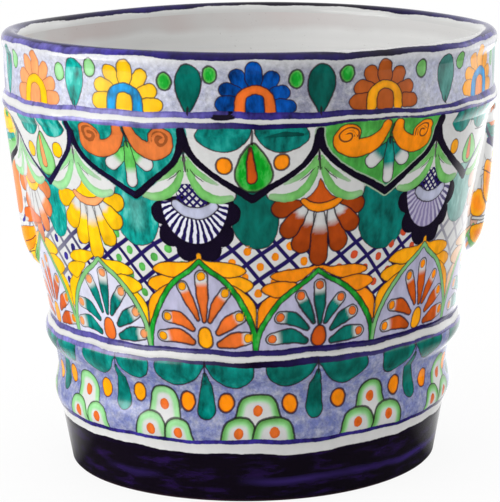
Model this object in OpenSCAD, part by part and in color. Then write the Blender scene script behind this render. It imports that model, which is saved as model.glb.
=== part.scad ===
// A hand-built glazed flower pot. The wall is a stack of clay rings that sit in each other by
// half-lap seams, with an applied coil over two of the seams, a rolled lip, a floor slab on a
// ledge and two wedge-shaped lifting lugs. Z is up, and the pot stands on Z = 0.

/* [Wall] */
// Thickness of the clay wall
wall = 10; // [7:0.5:14]
// Height of the half-lap at each seam
lap_h = 5; // [2:0.5:8]

/* [Foot] */
// Outer radius of the foot on the ground
foot_r = 115.5; // [105:0.5:130]
// Outer radius of the foot at its top seam
foot_top_r = 120.5; // [112:0.5:128]
// Height of the foot
foot_h = 28.5; // [26:0.5:45]
// Height of the bevel round the standing edge
foot_bevel = 1.5; // [0.5:0.5:4]
// Width of the ledge that carries the floor
ledge_w = 8; // [4:0.5:25]
// Height of the ledge, which lifts the floor off the ground
ledge_h = 5; // [3:0.5:8]

/* [Floor] */
// Thickness of the floor slab
floor_t = 12; // [8:0.5:16]
// Radius of the drain hole
drain_r = 10; // [5:0.5:30]

/* [Belly] */
// Height of the belly ring from the foot seam to the waist seam
belly_h = 55.5; // [52:0.5:80]
// Outer radius at the crest of the belly
belly_r = 125.5; // [118:0.5:132]
// Height of the crest above the foot seam
belly_crest = 17; // [8:0.5:26]
// Outer radius at the neck between belly and waist
neck_r = 123.5; // [116:0.5:130]
// Height of the neck above the foot seam
neck_up = 32.5; // [28:0.5:37]
// Outer radius at the waist seam, under its coil
waist_r = 127; // [120:0.5:136]

/* [Waist coil] */
// How far the coil reaches below the waist seam
waist_coil_down = 18; // [8:0.5:18.5]
// How far the coil reaches above the waist seam
waist_coil_up = 10; // [4:0.5:20]
// How far the coil stands proud
waist_coil_t = 4.6; // [2:0.2:9]

/* [Body] */
// Height of the body wall from the waist seam to the shoulder seam
body_h = 145; // [135:1:220]
// Outer radius at the shoulder seam, under its coil
shoulder_r = 151; // [135:0.5:165]

/* [Shoulder coil] */
// How far the coil reaches below the shoulder seam
shoulder_coil_down = 7; // [3:0.5:15]
// How far the coil reaches above the shoulder seam
shoulder_coil_up = 7; // [3:0.5:15]
// How far the coil stands proud
shoulder_coil_t = 2.2; // [1:0.2:6]

/* [Collar] */
// Height of the collar from the shoulder seam to the lip seam
collar_h = 29; // [20:0.5:60]
// How much wider the collar is at the lip seam than at the shoulder seam
collar_flare = 0.6; // [-8:0.2:16]

/* [Lip] */
// Height of the rolled lip above its seam
lip_h = 11; // [8:0.5:20]
// Height of the rounded top of the lip
lip_round = 6; // [2:0.5:7.5]
// How far the lip overhangs the collar
lip_out = 1.4; // [0.6:0.2:6]

/* [Lugs] */
// Width of a lug round the wall
lug_w = 46; // [20:1:80]
// Height of a lug, down from the shoulder coil
lug_h = 100; // [60:1:110]
// How far a lug stands proud at its top
lug_out_top = 3.2; // [0.5:0.1:8]
// How far a lug stands proud where its rounded end begins
lug_out = 7.6; // [3:0.1:20]
// Height of the rounded end that the fingers lift by
lug_end_h = 21; // [10:1:35]

/* [Hidden] */
$fn = 160;

cobalt = [0.13, 0.08, 0.32];
lavender = [0.66, 0.65, 0.82];
teal = [0.05, 0.48, 0.42];
white_glaze = [0.93, 0.92, 0.9];
orange = [0.95, 0.58, 0.1];
terracotta = [0.72, 0.42, 0.3];

// Seam heights, from the ground up
waist_z = foot_h + belly_h;
shoulder_z = waist_z + body_h;
lip_z = shoulder_z + collar_h;
pot_h = lip_z + lip_h;
neck_z = foot_h + neck_up;
lug_top_z = shoulder_z - shoulder_coil_down;
lug_low_z = lug_top_z - lug_h;
collar_top_r = shoulder_r + collar_flare;

// The inside runs straight from seam to seam, one wall inside the outside
foot_in_r = min(foot_r, foot_top_r) - wall;
inside = [[0, foot_in_r], [foot_h, foot_in_r], [waist_z, waist_r - wall],
          [shoulder_z, shoulder_r - wall], [lip_z, collar_top_r - wall],
          [pot_h, collar_top_r - wall]];
function inner_r(z) = lookup(z, inside);

// The outside of the straight stretches, which the coils and lugs lie on
outside = [[neck_z, neck_r], [waist_z, waist_r], [shoulder_z, shoulder_r], [lip_z, collar_top_r]];
function outer_r(z) = lookup(z, outside);

// A smooth S between two points of a profile, as [radius, height] points without the first
curve_steps = 8;
function ease(t) = (1 - cos(180 * t)) / 2;
function swell(r0, z0, r1, z1) =
    [for (i = [1:curve_steps]) let (t = i / curve_steps) [r0 + (r1 - r0) * ease(t), z0 + (z1 - z0) * t]];

// The half of a seam that stands up on the inside of the lower ring, from outside to inside
function tongue(z, seam_r) =
    [[seam_r - wall / 2, z], [seam_r - wall / 2, z + lap_h], [inner_r(z + lap_h), z + lap_h], [inner_r(z), z]];

// The half of a seam that the upper ring drops over it with, from inside to outside
function socket(z, seam_r) =
    [[inner_r(z + lap_h), z + lap_h], [seam_r - wall / 2, z + lap_h], [seam_r - wall / 2, z]];

// An applied coil: a half-sine swell that follows the wall on both sides of its seam
coil_steps = 16;
module coil(seam_z, down, up, proud) {
    face = [for (i = [0:coil_steps]) let (t = i / coil_steps, z = seam_z - down + (down + up) * t)
            [outer_r(z) + proud * sin(180 * t), z]];
    rotate_extrude() polygon(concat(face, [[outer_r(seam_z), seam_z]]));
}

module floor_slab() {
    color(terracotta)
    translate([0, 0, ledge_h])
    difference() {
        cylinder(r = foot_in_r, h = floor_t);
        translate([0, 0, -1]) cylinder(r = drain_r, h = floor_t + 2);
    }
}

module foot_ring() {
    color(cobalt)
    rotate_extrude() polygon(concat(
        [[foot_in_r - ledge_w, 0], [foot_r - foot_bevel, 0], [foot_r, foot_bevel], [foot_top_r, foot_h]],
        tongue(foot_h, foot_top_r),
        [[foot_in_r, ledge_h], [foot_in_r - ledge_w, ledge_h]]));
}

module belly_ring() {
    color(lavender)
    rotate_extrude() polygon(concat(
        [[foot_top_r, foot_h]],
        swell(foot_top_r, foot_h, belly_r, foot_h + belly_crest),
        swell(belly_r, foot_h + belly_crest, neck_r, neck_z),
        [[waist_r, waist_z]],
        tongue(waist_z, waist_r),
        socket(foot_h, foot_top_r)));
}

module waist_coil() {
    color(white_glaze) coil(waist_z, waist_coil_down, waist_coil_up, waist_coil_t);
}

module body_wall() {
    color(teal)
    rotate_extrude() polygon(concat(
        [[waist_r, waist_z], [shoulder_r, shoulder_z]],
        tongue(shoulder_z, shoulder_r),
        socket(waist_z, waist_r)));
}

module shoulder_coil() {
    color(white_glaze) coil(shoulder_z, shoulder_coil_down, shoulder_coil_up, shoulder_coil_t);
}

module collar_ring() {
    color(lavender)
    rotate_extrude() polygon(concat(
        [[shoulder_r, shoulder_z], [collar_top_r, lip_z]],
        tongue(lip_z, collar_top_r),
        socket(shoulder_z, shoulder_r)));
}

// The lip swells out over the collar and ends in a half-round top
lip_arc_step = 10;
module lip_coil() {
    outer = collar_top_r + lip_out;
    inner = collar_top_r - wall;
    round_z = pot_h - lip_round;
    top = [for (a = [0:lip_arc_step:180])
           [(outer + inner) / 2 + (outer - inner) / 2 * cos(a), round_z + lip_round * sin(a)]];
    color(cobalt)
    rotate_extrude() polygon(concat(
        [[collar_top_r, lip_z]],
        swell(collar_top_r, lip_z, outer, round_z),
        top,
        socket(lip_z, collar_top_r)));
}

// A lug lies on the wall, stands out further towards its lower end and is rounded off there
lug_end_steps = 10;
module lug() {
    end_z = lug_low_z + lug_end_h;
    rounded = [for (i = [0:lug_end_steps]) let (a = 90 * i / lug_end_steps, z = end_z - lug_end_h * sin(a))
               [outer_r(z) + lug_out * cos(a), z]];
    intersection() {
        rotate_extrude() polygon(concat(
            [[outer_r(lug_top_z), lug_top_z], [outer_r(lug_top_z) + lug_out_top, lug_top_z]],
            rounded));
        rotate([90, 0, 90]) linear_extrude(shoulder_r + lug_out_top + lug_out) union() {
            translate([0, lug_low_z + lug_w / 2]) circle(d = lug_w);
            translate([-lug_w / 2, lug_low_z + lug_w / 2]) square([lug_w, lug_h - lug_w / 2]);
        }
    }
}

module right_lug() {
    color(orange) lug();
}

module left_lug() {
    color(orange) rotate([0, 0, 180]) lug();
}

floor_slab();
foot_ring();
belly_ring();
waist_coil();
body_wall();
shoulder_coil();
collar_ring();
lip_coil();
left_lug();
right_lug();
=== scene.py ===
# %% [markdown]
# A hand-painted flower pot of glazed earthenware: a tapered wall on a dark cobalt foot, two raised
# ridges, an upright collar with a rolled lip, and two lugs to lift it by. The clay solids come from
# the CAD frame. This lesson lays a finer, slightly uneven skin over each of them and then paints the
# skin the way a majolica painter does: a white ground, colour washes, brush strokes, dark outlines,
# and a clear glaze over it all.

# %% Load the frame
import math

import bpy
import numpy as np
from mathutils import Matrix, Vector


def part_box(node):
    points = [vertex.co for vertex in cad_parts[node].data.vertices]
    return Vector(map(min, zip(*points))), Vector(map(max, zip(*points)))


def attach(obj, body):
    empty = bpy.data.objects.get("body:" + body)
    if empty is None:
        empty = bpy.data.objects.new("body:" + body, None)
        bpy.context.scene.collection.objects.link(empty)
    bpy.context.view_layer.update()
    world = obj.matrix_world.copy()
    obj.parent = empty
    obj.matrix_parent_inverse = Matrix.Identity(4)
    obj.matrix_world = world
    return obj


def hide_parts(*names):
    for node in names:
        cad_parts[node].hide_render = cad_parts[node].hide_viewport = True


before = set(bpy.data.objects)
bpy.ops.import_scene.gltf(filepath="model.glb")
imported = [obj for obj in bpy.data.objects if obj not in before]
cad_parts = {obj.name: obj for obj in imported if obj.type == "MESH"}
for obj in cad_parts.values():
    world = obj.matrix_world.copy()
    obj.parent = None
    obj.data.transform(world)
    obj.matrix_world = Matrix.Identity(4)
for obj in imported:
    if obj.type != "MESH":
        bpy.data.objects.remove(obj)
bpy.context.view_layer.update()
MM = 0.001
scene = bpy.context.scene
scene.view_settings.view_transform = "Standard"
print("clay parts in the frame:", sorted(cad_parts))

# %% [markdown]
# The camera comes first, so that every later step can be judged in the same picture. The pot was
# photographed with a long lens from a little above the rim. The camera could be pointed with a Track
# To constraint, but its own three axes written as a matrix keep the small roll of a hand-set tripod.

# %% Camera
IMAGE_W, IMAGE_H = 500, 502
SENSOR_MM = 36.0
FOCAL_PX = 2236.0
camera_place = Vector((-2.3, -1381.7, 417.0)) * MM
PITCH, ROLL, YAW = -0.2066, -0.0203, 0.0021

forward = Vector((math.sin(YAW) * math.cos(PITCH), math.cos(YAW) * math.cos(PITCH), math.sin(PITCH)))
level = Vector((math.cos(YAW), -math.sin(YAW), 0.0))
upright = level.cross(forward)
right = math.cos(ROLL) * level + math.sin(ROLL) * upright
up = math.cos(ROLL) * upright - math.sin(ROLL) * level

camera = bpy.data.objects.new("camera", bpy.data.cameras.new("camera"))
camera.data.sensor_width = SENSOR_MM
camera.data.lens = FOCAL_PX * SENSOR_MM / max(IMAGE_W, IMAGE_H)
camera.matrix_world = Matrix.Translation(camera_place) @ Matrix((right, up, -forward)).transposed().to_4x4()
scene.collection.objects.link(camera)
scene.camera = camera
print("lens", round(camera.data.lens, 1), "mm")

# %% [markdown]
# Every height and radius of the skin is read from the boxes of the CAD parts, so the skin stays on
# the clay when the pot is made in another size. Only the few points that no box shows, such as the
# crest of the belly, are written here. All lengths are in millimetres until a mesh is made.

# %% Seams and radii of the clay
def low(node):
    """Lowest corner of a CAD part's box, in millimetres."""
    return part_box(node)[0] / MM


def high(node):
    """Highest corner of a CAD part's box, in millimetres."""
    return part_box(node)[1] / MM


WALL = 10.0
foot_z = low("belly_ring").z
waist_z = low("body_wall").z
shoulder_z = low("collar_ring").z
lip_z = low("lip_coil").z
top_z = high("lip_coil").z
lap_h = high("foot_ring").z - foot_z
foot_in_r = high("floor_slab").x
foot_r = foot_in_r + WALL
foot_top_r = high("foot_ring").x
waist_r = high("belly_ring").x
shoulder_r = high("body_wall").x
collar_r = high("collar_ring").x
lip_r = high("lip_coil").x
print("seams at", [round(z, 1) for z in (foot_z, waist_z, shoulder_z, lip_z, top_z)], "mm")

# %% Outside and inside of the wall
FOOT_BEVEL = 0.8
BELLY_R, BELLY_Z = 125.5, foot_z + 17.0
NECK_R, NECK_Z = 123.5, foot_z + 32.5
LIP_ROUND = 6.0
CURVE_STEPS = 17


def swell(r0, z0, r1, z1):
    """A smooth S from one radius to another: the radius follows half a cosine wave over the height."""
    t = np.linspace(0, 1, CURVE_STEPS)
    return np.c_[z0 + (z1 - z0) * t, r0 + (r1 - r0) * (1 - np.cos(np.pi * t)) / 2]


outside_points = np.vstack([
    [[0, foot_r - FOOT_BEVEL], [FOOT_BEVEL, foot_r], [foot_z, foot_top_r]],
    swell(foot_top_r, foot_z, BELLY_R, BELLY_Z),
    swell(BELLY_R, BELLY_Z, NECK_R, NECK_Z),
    [[waist_z, waist_r], [shoulder_z, shoulder_r], [lip_z, collar_r]],
    swell(collar_r, lip_z, lip_r, top_z - LIP_ROUND)])
inside_points = np.array([
    [0, foot_in_r], [foot_z, foot_in_r], [waist_z, waist_r - WALL],
    [shoulder_z, shoulder_r - WALL], [lip_z, collar_r - WALL], [top_z, collar_r - WALL]])


def outside(z):
    """Outer radius of the wall at a height, straight between the profile's points."""
    return np.interp(z, outside_points[:, 0], outside_points[:, 1])


def inside(z):
    """Inner radius of the wall at a height: one wall inside each seam, straight between seams."""
    return np.interp(z, inside_points[:, 0], inside_points[:, 1])


print("outer radius at the belly", outside(BELLY_Z), "and at the lip", outside(top_z))

# %% [markdown]
# A pot made by hand is never quite true. Its bands lean a little to one side, the shoulder sags where
# the lugs pull on it, the rim dips at one place, and the wall is slightly out of round. One function
# turns radius, angle and height into a place in space and adds that unevenness, so that every ring,
# coil and lug moves together and no gap opens between them. A displace modifier on each ring could not
# promise that.

# %% Hand-made unevenness
LEAN_Z = (0.0, 92.0, 230.0, 269.0)
LEAN = (0.0, 0.0, -0.010, -0.020)
ASIDE = 0.010
SAG_MM, SAG_Z, SAG_SPREAD = 2.2, 226.0, 30.0
OUT_OF_ROUND_MM = 0.35
ROUND_WAVES = ((3, 1.1, 1.0), (5, 0.4, 0.7))
WAIST_PUSH_MM, WAIST_PUSH_Z, WAIST_PUSH_SPREAD = 1.5, 95.0, 35.0
FOOT_RISE_MM, LIP_RISE_MM = 0.8, 0.8
RISE_MM = (0.0, FOOT_RISE_MM, FOOT_RISE_MM, FOOT_RISE_MM + LIP_RISE_MM)
RIM_BUMPS = ((-125.0, 36.0, -3.2), (84.0, 18.0, 0.8), (118.0, 28.0, -0.8))


def bell(off, spread_over):
    """A bell curve: e to the power of less the square of an offset over its spread."""
    return np.exp(-(off / spread_over) ** 2)


def turned(degrees):
    """An angle in degrees, brought between -180 and 180."""
    return (degrees + 180) % 360 - 180


def settle(radius, angle, height):
    """Place of a skin point in metres. The angle runs to the right from the front of the pot. The
    radius breathes by sines of three and five times the angle, the waist is pushed to the right by a
    bell curve of the height times the sine of the angle, and the axis leans aside with the height. The
    height leans with x, sags on both sides as the square of the sine of the angle, is drawn up a little
    in the foot and the lip, and at the rim also follows bell curves of the angle, with dips at the back
    and a small rise on the right."""
    breath = sum(share * np.sin(count * angle + start) for count, start, share in ROUND_WAVES)
    push = WAIST_PUSH_MM * bell(height - WAIST_PUSH_Z, WAIST_PUSH_SPREAD) * np.sin(angle)
    grown = radius + OUT_OF_ROUND_MM * breath + push
    x = grown * np.sin(angle)
    lean = np.interp(height, LEAN_Z, LEAN) * x
    sag = SAG_MM * bell(height - SAG_Z, SAG_SPREAD) * np.sin(angle) ** 2
    z = height + lean - sag + np.interp(height, (0.0, foot_z, lip_z, top_z), RISE_MM)
    at_rim = np.interp(height, (shoulder_z, lip_z), (0.0, 1.0))
    for middle, spread_deg, rise in RIM_BUMPS:
        z = z + rise * bell(turned(np.degrees(angle) - middle), spread_deg) * at_rim
    return np.stack([x + ASIDE * height, -grown * np.cos(angle), z], axis=-1) * MM


right_waist = settle(waist_r, np.pi / 2, waist_z)[2] / MM - waist_z
print("the right side of the waist stands", round(float(right_waist), 2), "mm high")

# %% [markdown]
# Each ring is a closed cross-section carried round the axis, like a profile on a potter's wheel. The
# section runs up the outside, over the seam's tongue, down the inside and back through the socket.
# The outside rows are close together because the paint is stored on them, and the hidden rows are far
# apart. A Screw modifier would give the same form, but the grid also has to carry the painting.

# %% Cross-sections of the wall rings
PAINTED, GLAZED, BARE = 0, 1, 2
ROWS = {"belly_ring": 46, "body_wall": 117, "collar_ring": 30, "waist_coil": 37, "shoulder_coil": 22,
        "foot_ring": 24}
INNER_ROWS = 8
COIL_TUCK = 1.0


def tongue(z):
    """The half of a seam that stands up on the inside of the lower ring, from outside to inside."""
    middle = outside(z) - WALL / 2
    return np.array([[middle, z], [middle, z + lap_h], [inside(z + lap_h), z + lap_h]])


def socket(z):
    """The half of a seam that the upper ring drops over the tongue with, from inside to outside."""
    middle = outside(z) - WALL / 2
    return np.array([[inside(z + lap_h), z + lap_h], [middle, z + lap_h], [middle, z]])


def wall_section(*heights):
    """Section of a ring between two seams as radius and height, with the finish of each stretch."""
    z = np.r_[heights]
    down = np.linspace(z[-1], z[0] + lap_h, INNER_ROWS)[:-1]
    parts = [np.c_[outside(z), z], tongue(z[-1]), np.c_[inside(down), down], socket(z[0])]
    finish = [PAINTED] * (len(z) - 1) + [BARE] * 3 + [GLAZED] * INNER_ROWS + [BARE] * 3
    return np.vstack(parts), finish, len(z)


def open_rows(node, start, stop):
    """Heights of the rows of a ring that no coil hides."""
    return np.linspace(start, stop, ROWS[node])


waist_low, waist_high = low("waist_coil").z + COIL_TUCK, high("waist_coil").z - COIL_TUCK
shoulder_low, shoulder_high = low("shoulder_coil").z + COIL_TUCK, high("shoulder_coil").z - COIL_TUCK
sections = {
    "belly_ring": wall_section(*open_rows("belly_ring", foot_z, waist_low), waist_z),
    "body_wall": wall_section(waist_z, *open_rows("body_wall", waist_high, shoulder_low), shoulder_z),
    "collar_ring": wall_section(shoulder_z, *open_rows("collar_ring", shoulder_high, lip_z))}
for name, (section, finish, painted) in sections.items():
    print(name, len(section), "rows,", painted, "of them painted")

# %% Cross-sections of the coils, the lip and the foot
LEDGE_W = 8.0
WAIST_SMEAR, FILM_MM = 0.22, 0.3
SEAM_TUCK = 0.5
LIP_RISE_ROWS, LIP_ROLL_ROWS = 8, 22


def coil_section(node, smear=0.0):
    """Section of an applied coil: half a sine wave that swells out of the wall, and its seam behind.
    A share of its height at the lower end is smeared out on the wall as a thin film."""
    rows = ROWS[node]
    share = np.linspace(0, 1, rows)
    z = low(node).z + (high(node).z - low(node).z) * share
    proud = high(node).x - outside((z[0] + z[-1]) / 2)
    wave = np.sin(np.pi * np.clip((share - smear) / (1 - smear), 0, 1))
    face = np.c_[outside(z) + np.maximum(proud * wave, FILM_MM * np.sin(np.pi * share)), z]
    seam_z = z[rows // 2]
    return np.vstack([face, [outside(seam_z) - SEAM_TUCK, seam_z]]), [PAINTED] * (rows - 1) + [BARE] * 2, rows


def lip_section():
    """Section of the lip: a swell over the collar, then half an ellipse that rolls over to the inside."""
    z = np.linspace(lip_z, top_z - LIP_ROUND, LIP_RISE_ROWS)
    turn = np.linspace(0, np.pi, LIP_ROLL_ROWS + 1)[1:]
    inner = collar_r - WALL
    roll = np.c_[(lip_r + inner) / 2 + (lip_r - inner) / 2 * np.cos(turn), z[-1] + LIP_ROUND * np.sin(turn)]
    painted = LIP_RISE_ROWS + LIP_ROLL_ROWS
    parts = [np.c_[outside(z), z], roll, socket(lip_z)[1:]]
    return np.vstack(parts), [PAINTED] * (painted - 1) + [BARE] * 3, painted


def foot_section():
    """Section of the foot: a slightly flared band on a bevel, with the ledge that carries the floor."""
    rows = ROWS["foot_ring"]
    z = np.r_[0, np.linspace(FOOT_BEVEL, foot_z, rows - 1)]
    ledge_z, ledge_r = low("floor_slab").z, foot_in_r - LEDGE_W
    ledge = [[foot_in_r, foot_z], [foot_in_r, ledge_z], [ledge_r, ledge_z], [ledge_r, 0]]
    finish = [PAINTED] * (rows - 1) + [BARE] * 3 + [GLAZED] * 2 + [BARE] * 3
    return np.vstack([np.c_[outside(z), z], tongue(foot_z), ledge]), finish, rows


sections["waist_coil"] = coil_section("waist_coil", WAIST_SMEAR)
sections["shoulder_coil"] = coil_section("shoulder_coil")
sections["lip_coil"] = lip_section()
sections["foot_ring"] = foot_section()
print({name: len(parts[0]) for name, parts in sections.items()})

# %% [markdown]
# The lugs are wedges of clay pressed on the wall: thin under the shoulder, thicker towards the lower
# end, which is rounded like a tongue so that fingers can lift by it. Their sides are smeared onto the
# wall, so they rise out of it without a step. The surface is a grid with one direction across the lug
# and one down it. A bevelled box would need many cuts to follow the round wall, but on a grid the
# wall's own radius is simply added.

# %% Grid of a lug
LUG_ACROSS, LUG_DOWN, LUG_BACK = 84, 110, 9
LUG_SPREAD, LUG_BELL = 1.7, 1.6
LUG_EXTRA = {"left_lug": (0.0, 0.0, 1.0), "right_lug": (2.4, 3.0, 1.8)}
LUG_OUT_TOP, LUG_OUT, LUG_END_H = 3.2, 7.6, 21.0
LUG_TUCK, LUG_CLOSE = 2.5, 0.96
LUG_FIRST, LUG_EASE = 0.015, 0.4
LUG_SINK, LUG_BEHIND = 0.02, 0.1


def lug_grid(node, side):
    """Radius, angle and height of a lug's skin. Rows go up from the tip. Across a row the thickness is
    a bell, one less the square of the place across, raised to a power. The row's width follows a half
    circle at the tip. Each row closes behind, just inside the wall, and the top is rounded off under
    the shoulder coil. The right lug was made a little thicker, shorter and rounder than the left one:
    its thickness falls off upwards with a power of the height."""
    thicker, shorter, roundness = LUG_EXTRA[node]
    bottom, crown = low(node).z + shorter, high(node).z
    half_width = high(node).y
    share = np.linspace(LUG_FIRST, 1, LUG_DOWN)
    eased = LUG_EASE * (1 - np.cos(np.pi / 2 * share)) + (1 - LUG_EASE) * share
    z = bottom + (crown + LUG_TUCK - bottom) * eased
    rise = np.clip((z - bottom) / half_width, 0, 1)
    width = half_width * LUG_SPREAD * np.sqrt(1 - (1 - rise) ** 2)
    end = np.clip((z - bottom) / LUG_END_H, 0, 1)
    taper = np.clip((z - bottom - LUG_END_H) / (crown - bottom - LUG_END_H), 0, 1) ** roundness
    proud = (LUG_OUT + thicker + (LUG_OUT_TOP - LUG_OUT - thicker) * taper) * np.sqrt(1 - (1 - end) ** 2)
    proud *= np.sqrt(1 - LUG_CLOSE * np.clip((z - crown + LUG_TUCK) / LUG_TUCK / 2, 0, 1) ** 2)
    front = -np.cos(np.linspace(0, np.pi, LUG_ACROSS))
    thick = np.r_[np.maximum(1 - front ** 2, 0) ** LUG_BELL - LUG_SINK, np.full(LUG_BACK, -LUG_BEHIND)]
    across = np.r_[front, np.linspace(1, -1, LUG_BACK + 2)[1:-1]]
    height = np.repeat(z[:, None], len(across), axis=1)
    radius = outside(height) + proud[:, None] * thick
    angle = side * np.pi / 2 + width[:, None] * across / outside(height)
    return radius, angle, height


lugs = {"left_lug": lug_grid("left_lug", -1), "right_lug": lug_grid("right_lug", 1)}
print("lug grid", lugs["left_lug"][0].shape)

# %% [markdown]
# The painter sees the pot as one long sheet of paper wrapped round it. Here that sheet is real: every
# painted point of every ring, coil and lug is put on one list with its place on the sheet, across in
# millimetres and up in millimetres. Each brush stroke is then worked out once for all of them, and the
# painting runs over seams and lugs without a break. A small, slow wander of the sheet's lines stands
# for the unsteady hand, so no two repeats of a motif come out the same.

# %% The sheet
COLUMNS = {"belly_ring": 960, "waist_coil": 960, "body_wall": 700, "shoulder_coil": 1000,
           "collar_ring": 1000, "lip_coil": 900, "foot_ring": 480}
DEGREE = 2.443
SHEET = 360 * DEGREE
WANDER_MM = 0.45
WANDER_ACROSS = ((9, 13.0, 0.0, 1.0), (23, -7.0, 2.0, 0.6))
WANDER_UP = ((11, -17.0, 1.0, 1.0), (29, 9.0, 0.0, 0.6))

sheet_x, sheet_y, sheet_part = [], [], {}


def spread(name, angle, height):
    """Puts a piece's painted points on the sheet and remembers which of the list's entries they are."""
    start = sum(map(len, sheet_x))
    sheet_x.append(np.degrees(angle).ravel() * DEGREE)
    sheet_y.append(height.ravel())
    sheet_part[name] = slice(start, start + angle.size)


def sheet_heights(section, painted):
    """Height on the sheet of a section's painted rows: the true height, or the length along the
    section where that rolls over the lip."""
    rows = section[:painted]
    along = rows[0, 1] + np.r_[0, np.cumsum(np.hypot(*np.diff(rows, axis=0).T))]
    return along if rows[-1, 0] < rows[0, 0] - WALL / 2 else rows[:, 1]


def wander(waves):
    """Drift of the sheet's lines: a sum of sines of the angle, each shifted on with the height."""
    turn = sheet_x / SHEET * 2 * np.pi
    return WANDER_MM * sum(share * np.sin(count * turn + sheet_y / climb + start)
                           for count, climb, start, share in waves)


for name, (section, finish, painted) in sections.items():
    turn = 2 * np.pi * (np.arange(COLUMNS[name]) / COLUMNS[name] - 0.5)
    spread(name, *np.meshgrid(turn, sheet_heights(section, painted)))
for name, (radius, angle, height) in lugs.items():
    spread(name, angle, height)
sheet_x = np.concatenate(sheet_x)
sheet_y = np.concatenate(sheet_y)
drift_x, drift_y = wander(WANDER_ACROSS), wander(WANDER_UP)
sheet_x += drift_x
sheet_y += drift_y
print(len(sheet_x), "painted points on the sheet")

# %% [markdown]
# Paint lies on the pot in layers, and a later stroke covers an earlier one. For every layer each point
# of the sheet stores how far it is from the edge of the nearest stroke, negative inside, and the colour
# of that stroke. A material can find the exact edge between the points from those distances, so edges
# and outlines stay crisp on a grid of about one millimetre, where plain vertex colours would blur.

# %% Layers
LAYERS = ("wash", "low", "mid", "high", "crown", "edge", "line")
FAR = 6.0
PEN_FAR = [9.0, 9.0, 0.0]
# Outlines and pen lines are drawn thinner and fainter towards the far left and right: a painted glare, where
# the side lights wash the dark lines out.
INK_TURN = (-110, -80, -48, -26, 40, 58, 80, 110)
INK_GLARE_FADE = (1.0, 0.5, 0.5, 1.0, 1.0, 0.6, 0.5, 1.0)


def blank(values):
    """A field that holds the same values at every point of the sheet."""
    return np.tile(values, (len(sheet_x), 1))


distance = {layer: np.full(len(sheet_x), FAR) for layer in LAYERS}
colour = {layer: blank(np.zeros(4)) for layer in LAYERS}
pen_line = blank(PEN_FAR)
sheet_deg = sheet_x / DEGREE
glare_ink_fade = np.interp(sheet_deg, INK_TURN, INK_GLARE_FADE)


def near(points, reach):
    """Entries of the sheet round some points, with their places counted from the same side of the
    sheet's own seam at the back."""
    middle = (points.min(axis=0) + points.max(axis=0)) / 2
    half = (points.max(axis=0) - points.min(axis=0)) / 2 + reach
    dx = (sheet_x - middle[0] + SHEET / 2) % SHEET - SHEET / 2
    pick = np.flatnonzero((np.abs(dx) < half[0]) & (np.abs(sheet_y - middle[1]) < half[1]))
    return pick, np.c_[dx[pick] + middle[0], sheet_y[pick]]


def lay(layer, pick, gap, paint, ink):
    """Lays a stroke: where it is nearer than the strokes already there, its distance, its colour and
    the width of its dark outline are stored."""
    wins = gap < distance[layer][pick]
    spot = pick[wins]
    distance[layer][spot] = gap[wins]
    colour[layer][spot, :3] = paint[wins]
    colour[layer][spot, 3] = ink * glare_ink_fade[spot]


print("layers from the bottom:", LAYERS)

# %% [markdown]
# Two tools draw everything. The brush follows a smooth path with a changing width and a colour that
# may run from one paint to the next, as a loaded brush does. The outline fills a closed shape drawn
# through a few points, and its colour may change from the rim inwards. Both measure distances with
# whole arrays: the nearest point on each short piece of the path, then the smallest of them.

# %% Brush, outline and pen
REACH = 4.0
SPAN = 6


def bend(points, closed):
    """A smooth curve through given points: each span is the Catmull-Rom cubic of four points."""
    p = np.asarray(points, float) * (DEGREE, 1.0)
    if closed:
        a, b, c, d = np.roll(p, 1, 0), p, np.roll(p, -1, 0), np.roll(p, -2, 0)
    else:
        q = np.vstack([2 * p[0] - p[1], p, 2 * p[-1] - p[-2]])
        a, b, c, d = q[:-3], q[1:-2], q[2:-1], q[3:]
    t = (np.arange(SPAN) / SPAN)[:, None]
    a, b, c, d = (v[:, None] for v in (a, b, c, d))
    path = (b + (c - a) * t / 2 + (2 * a - 5 * b + 4 * c - d) * t ** 2 / 2
            + (3 * b - a - 3 * c + d) * t ** 3 / 2).reshape(-1, 2)
    return path if closed else np.vstack([path, p[-1]])


def shadow(place, a, b):
    """Nearest point of each straight piece a to b for each place: its share along the piece, and the
    offset from it."""
    edge = b - a
    off = place[:, None] - a
    share = np.clip((off * edge).sum(-1) / np.maximum((edge ** 2).sum(-1), 1e-9), 0, 1)
    return share, off - share[..., None] * edge


def ramp(share, paints):
    """Colour at a share between 0 and 1 of an evenly spaced row of paints."""
    paints = np.atleast_2d(paints)
    stops = np.linspace(0, 1, len(paints))
    return np.stack([np.interp(share, stops, channel) for channel in paints.T], axis=-1)


def brush(layer, points, widths, paints, ink=0.9):
    """A tapering stroke along a path: distance to the path less half the width there."""
    path = bend(points, False)
    half = np.interp(np.linspace(0, 1, len(path)), np.linspace(0, 1, np.size(widths)), np.ravel(widths)) / 2
    pick, place = near(path, half.max() + REACH)
    share, off = shadow(place, path[:-1], path[1:])
    gap = np.hypot(*np.moveaxis(off, -1, 0)) - (half[:-1] + (half[1:] - half[:-1]) * share)
    best = gap.argmin(axis=1)
    rows = np.arange(len(pick))
    along = (best + share[rows, best]) / (len(path) - 1)
    lay(layer, pick, gap[rows, best], ramp(along, paints), ink)


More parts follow.
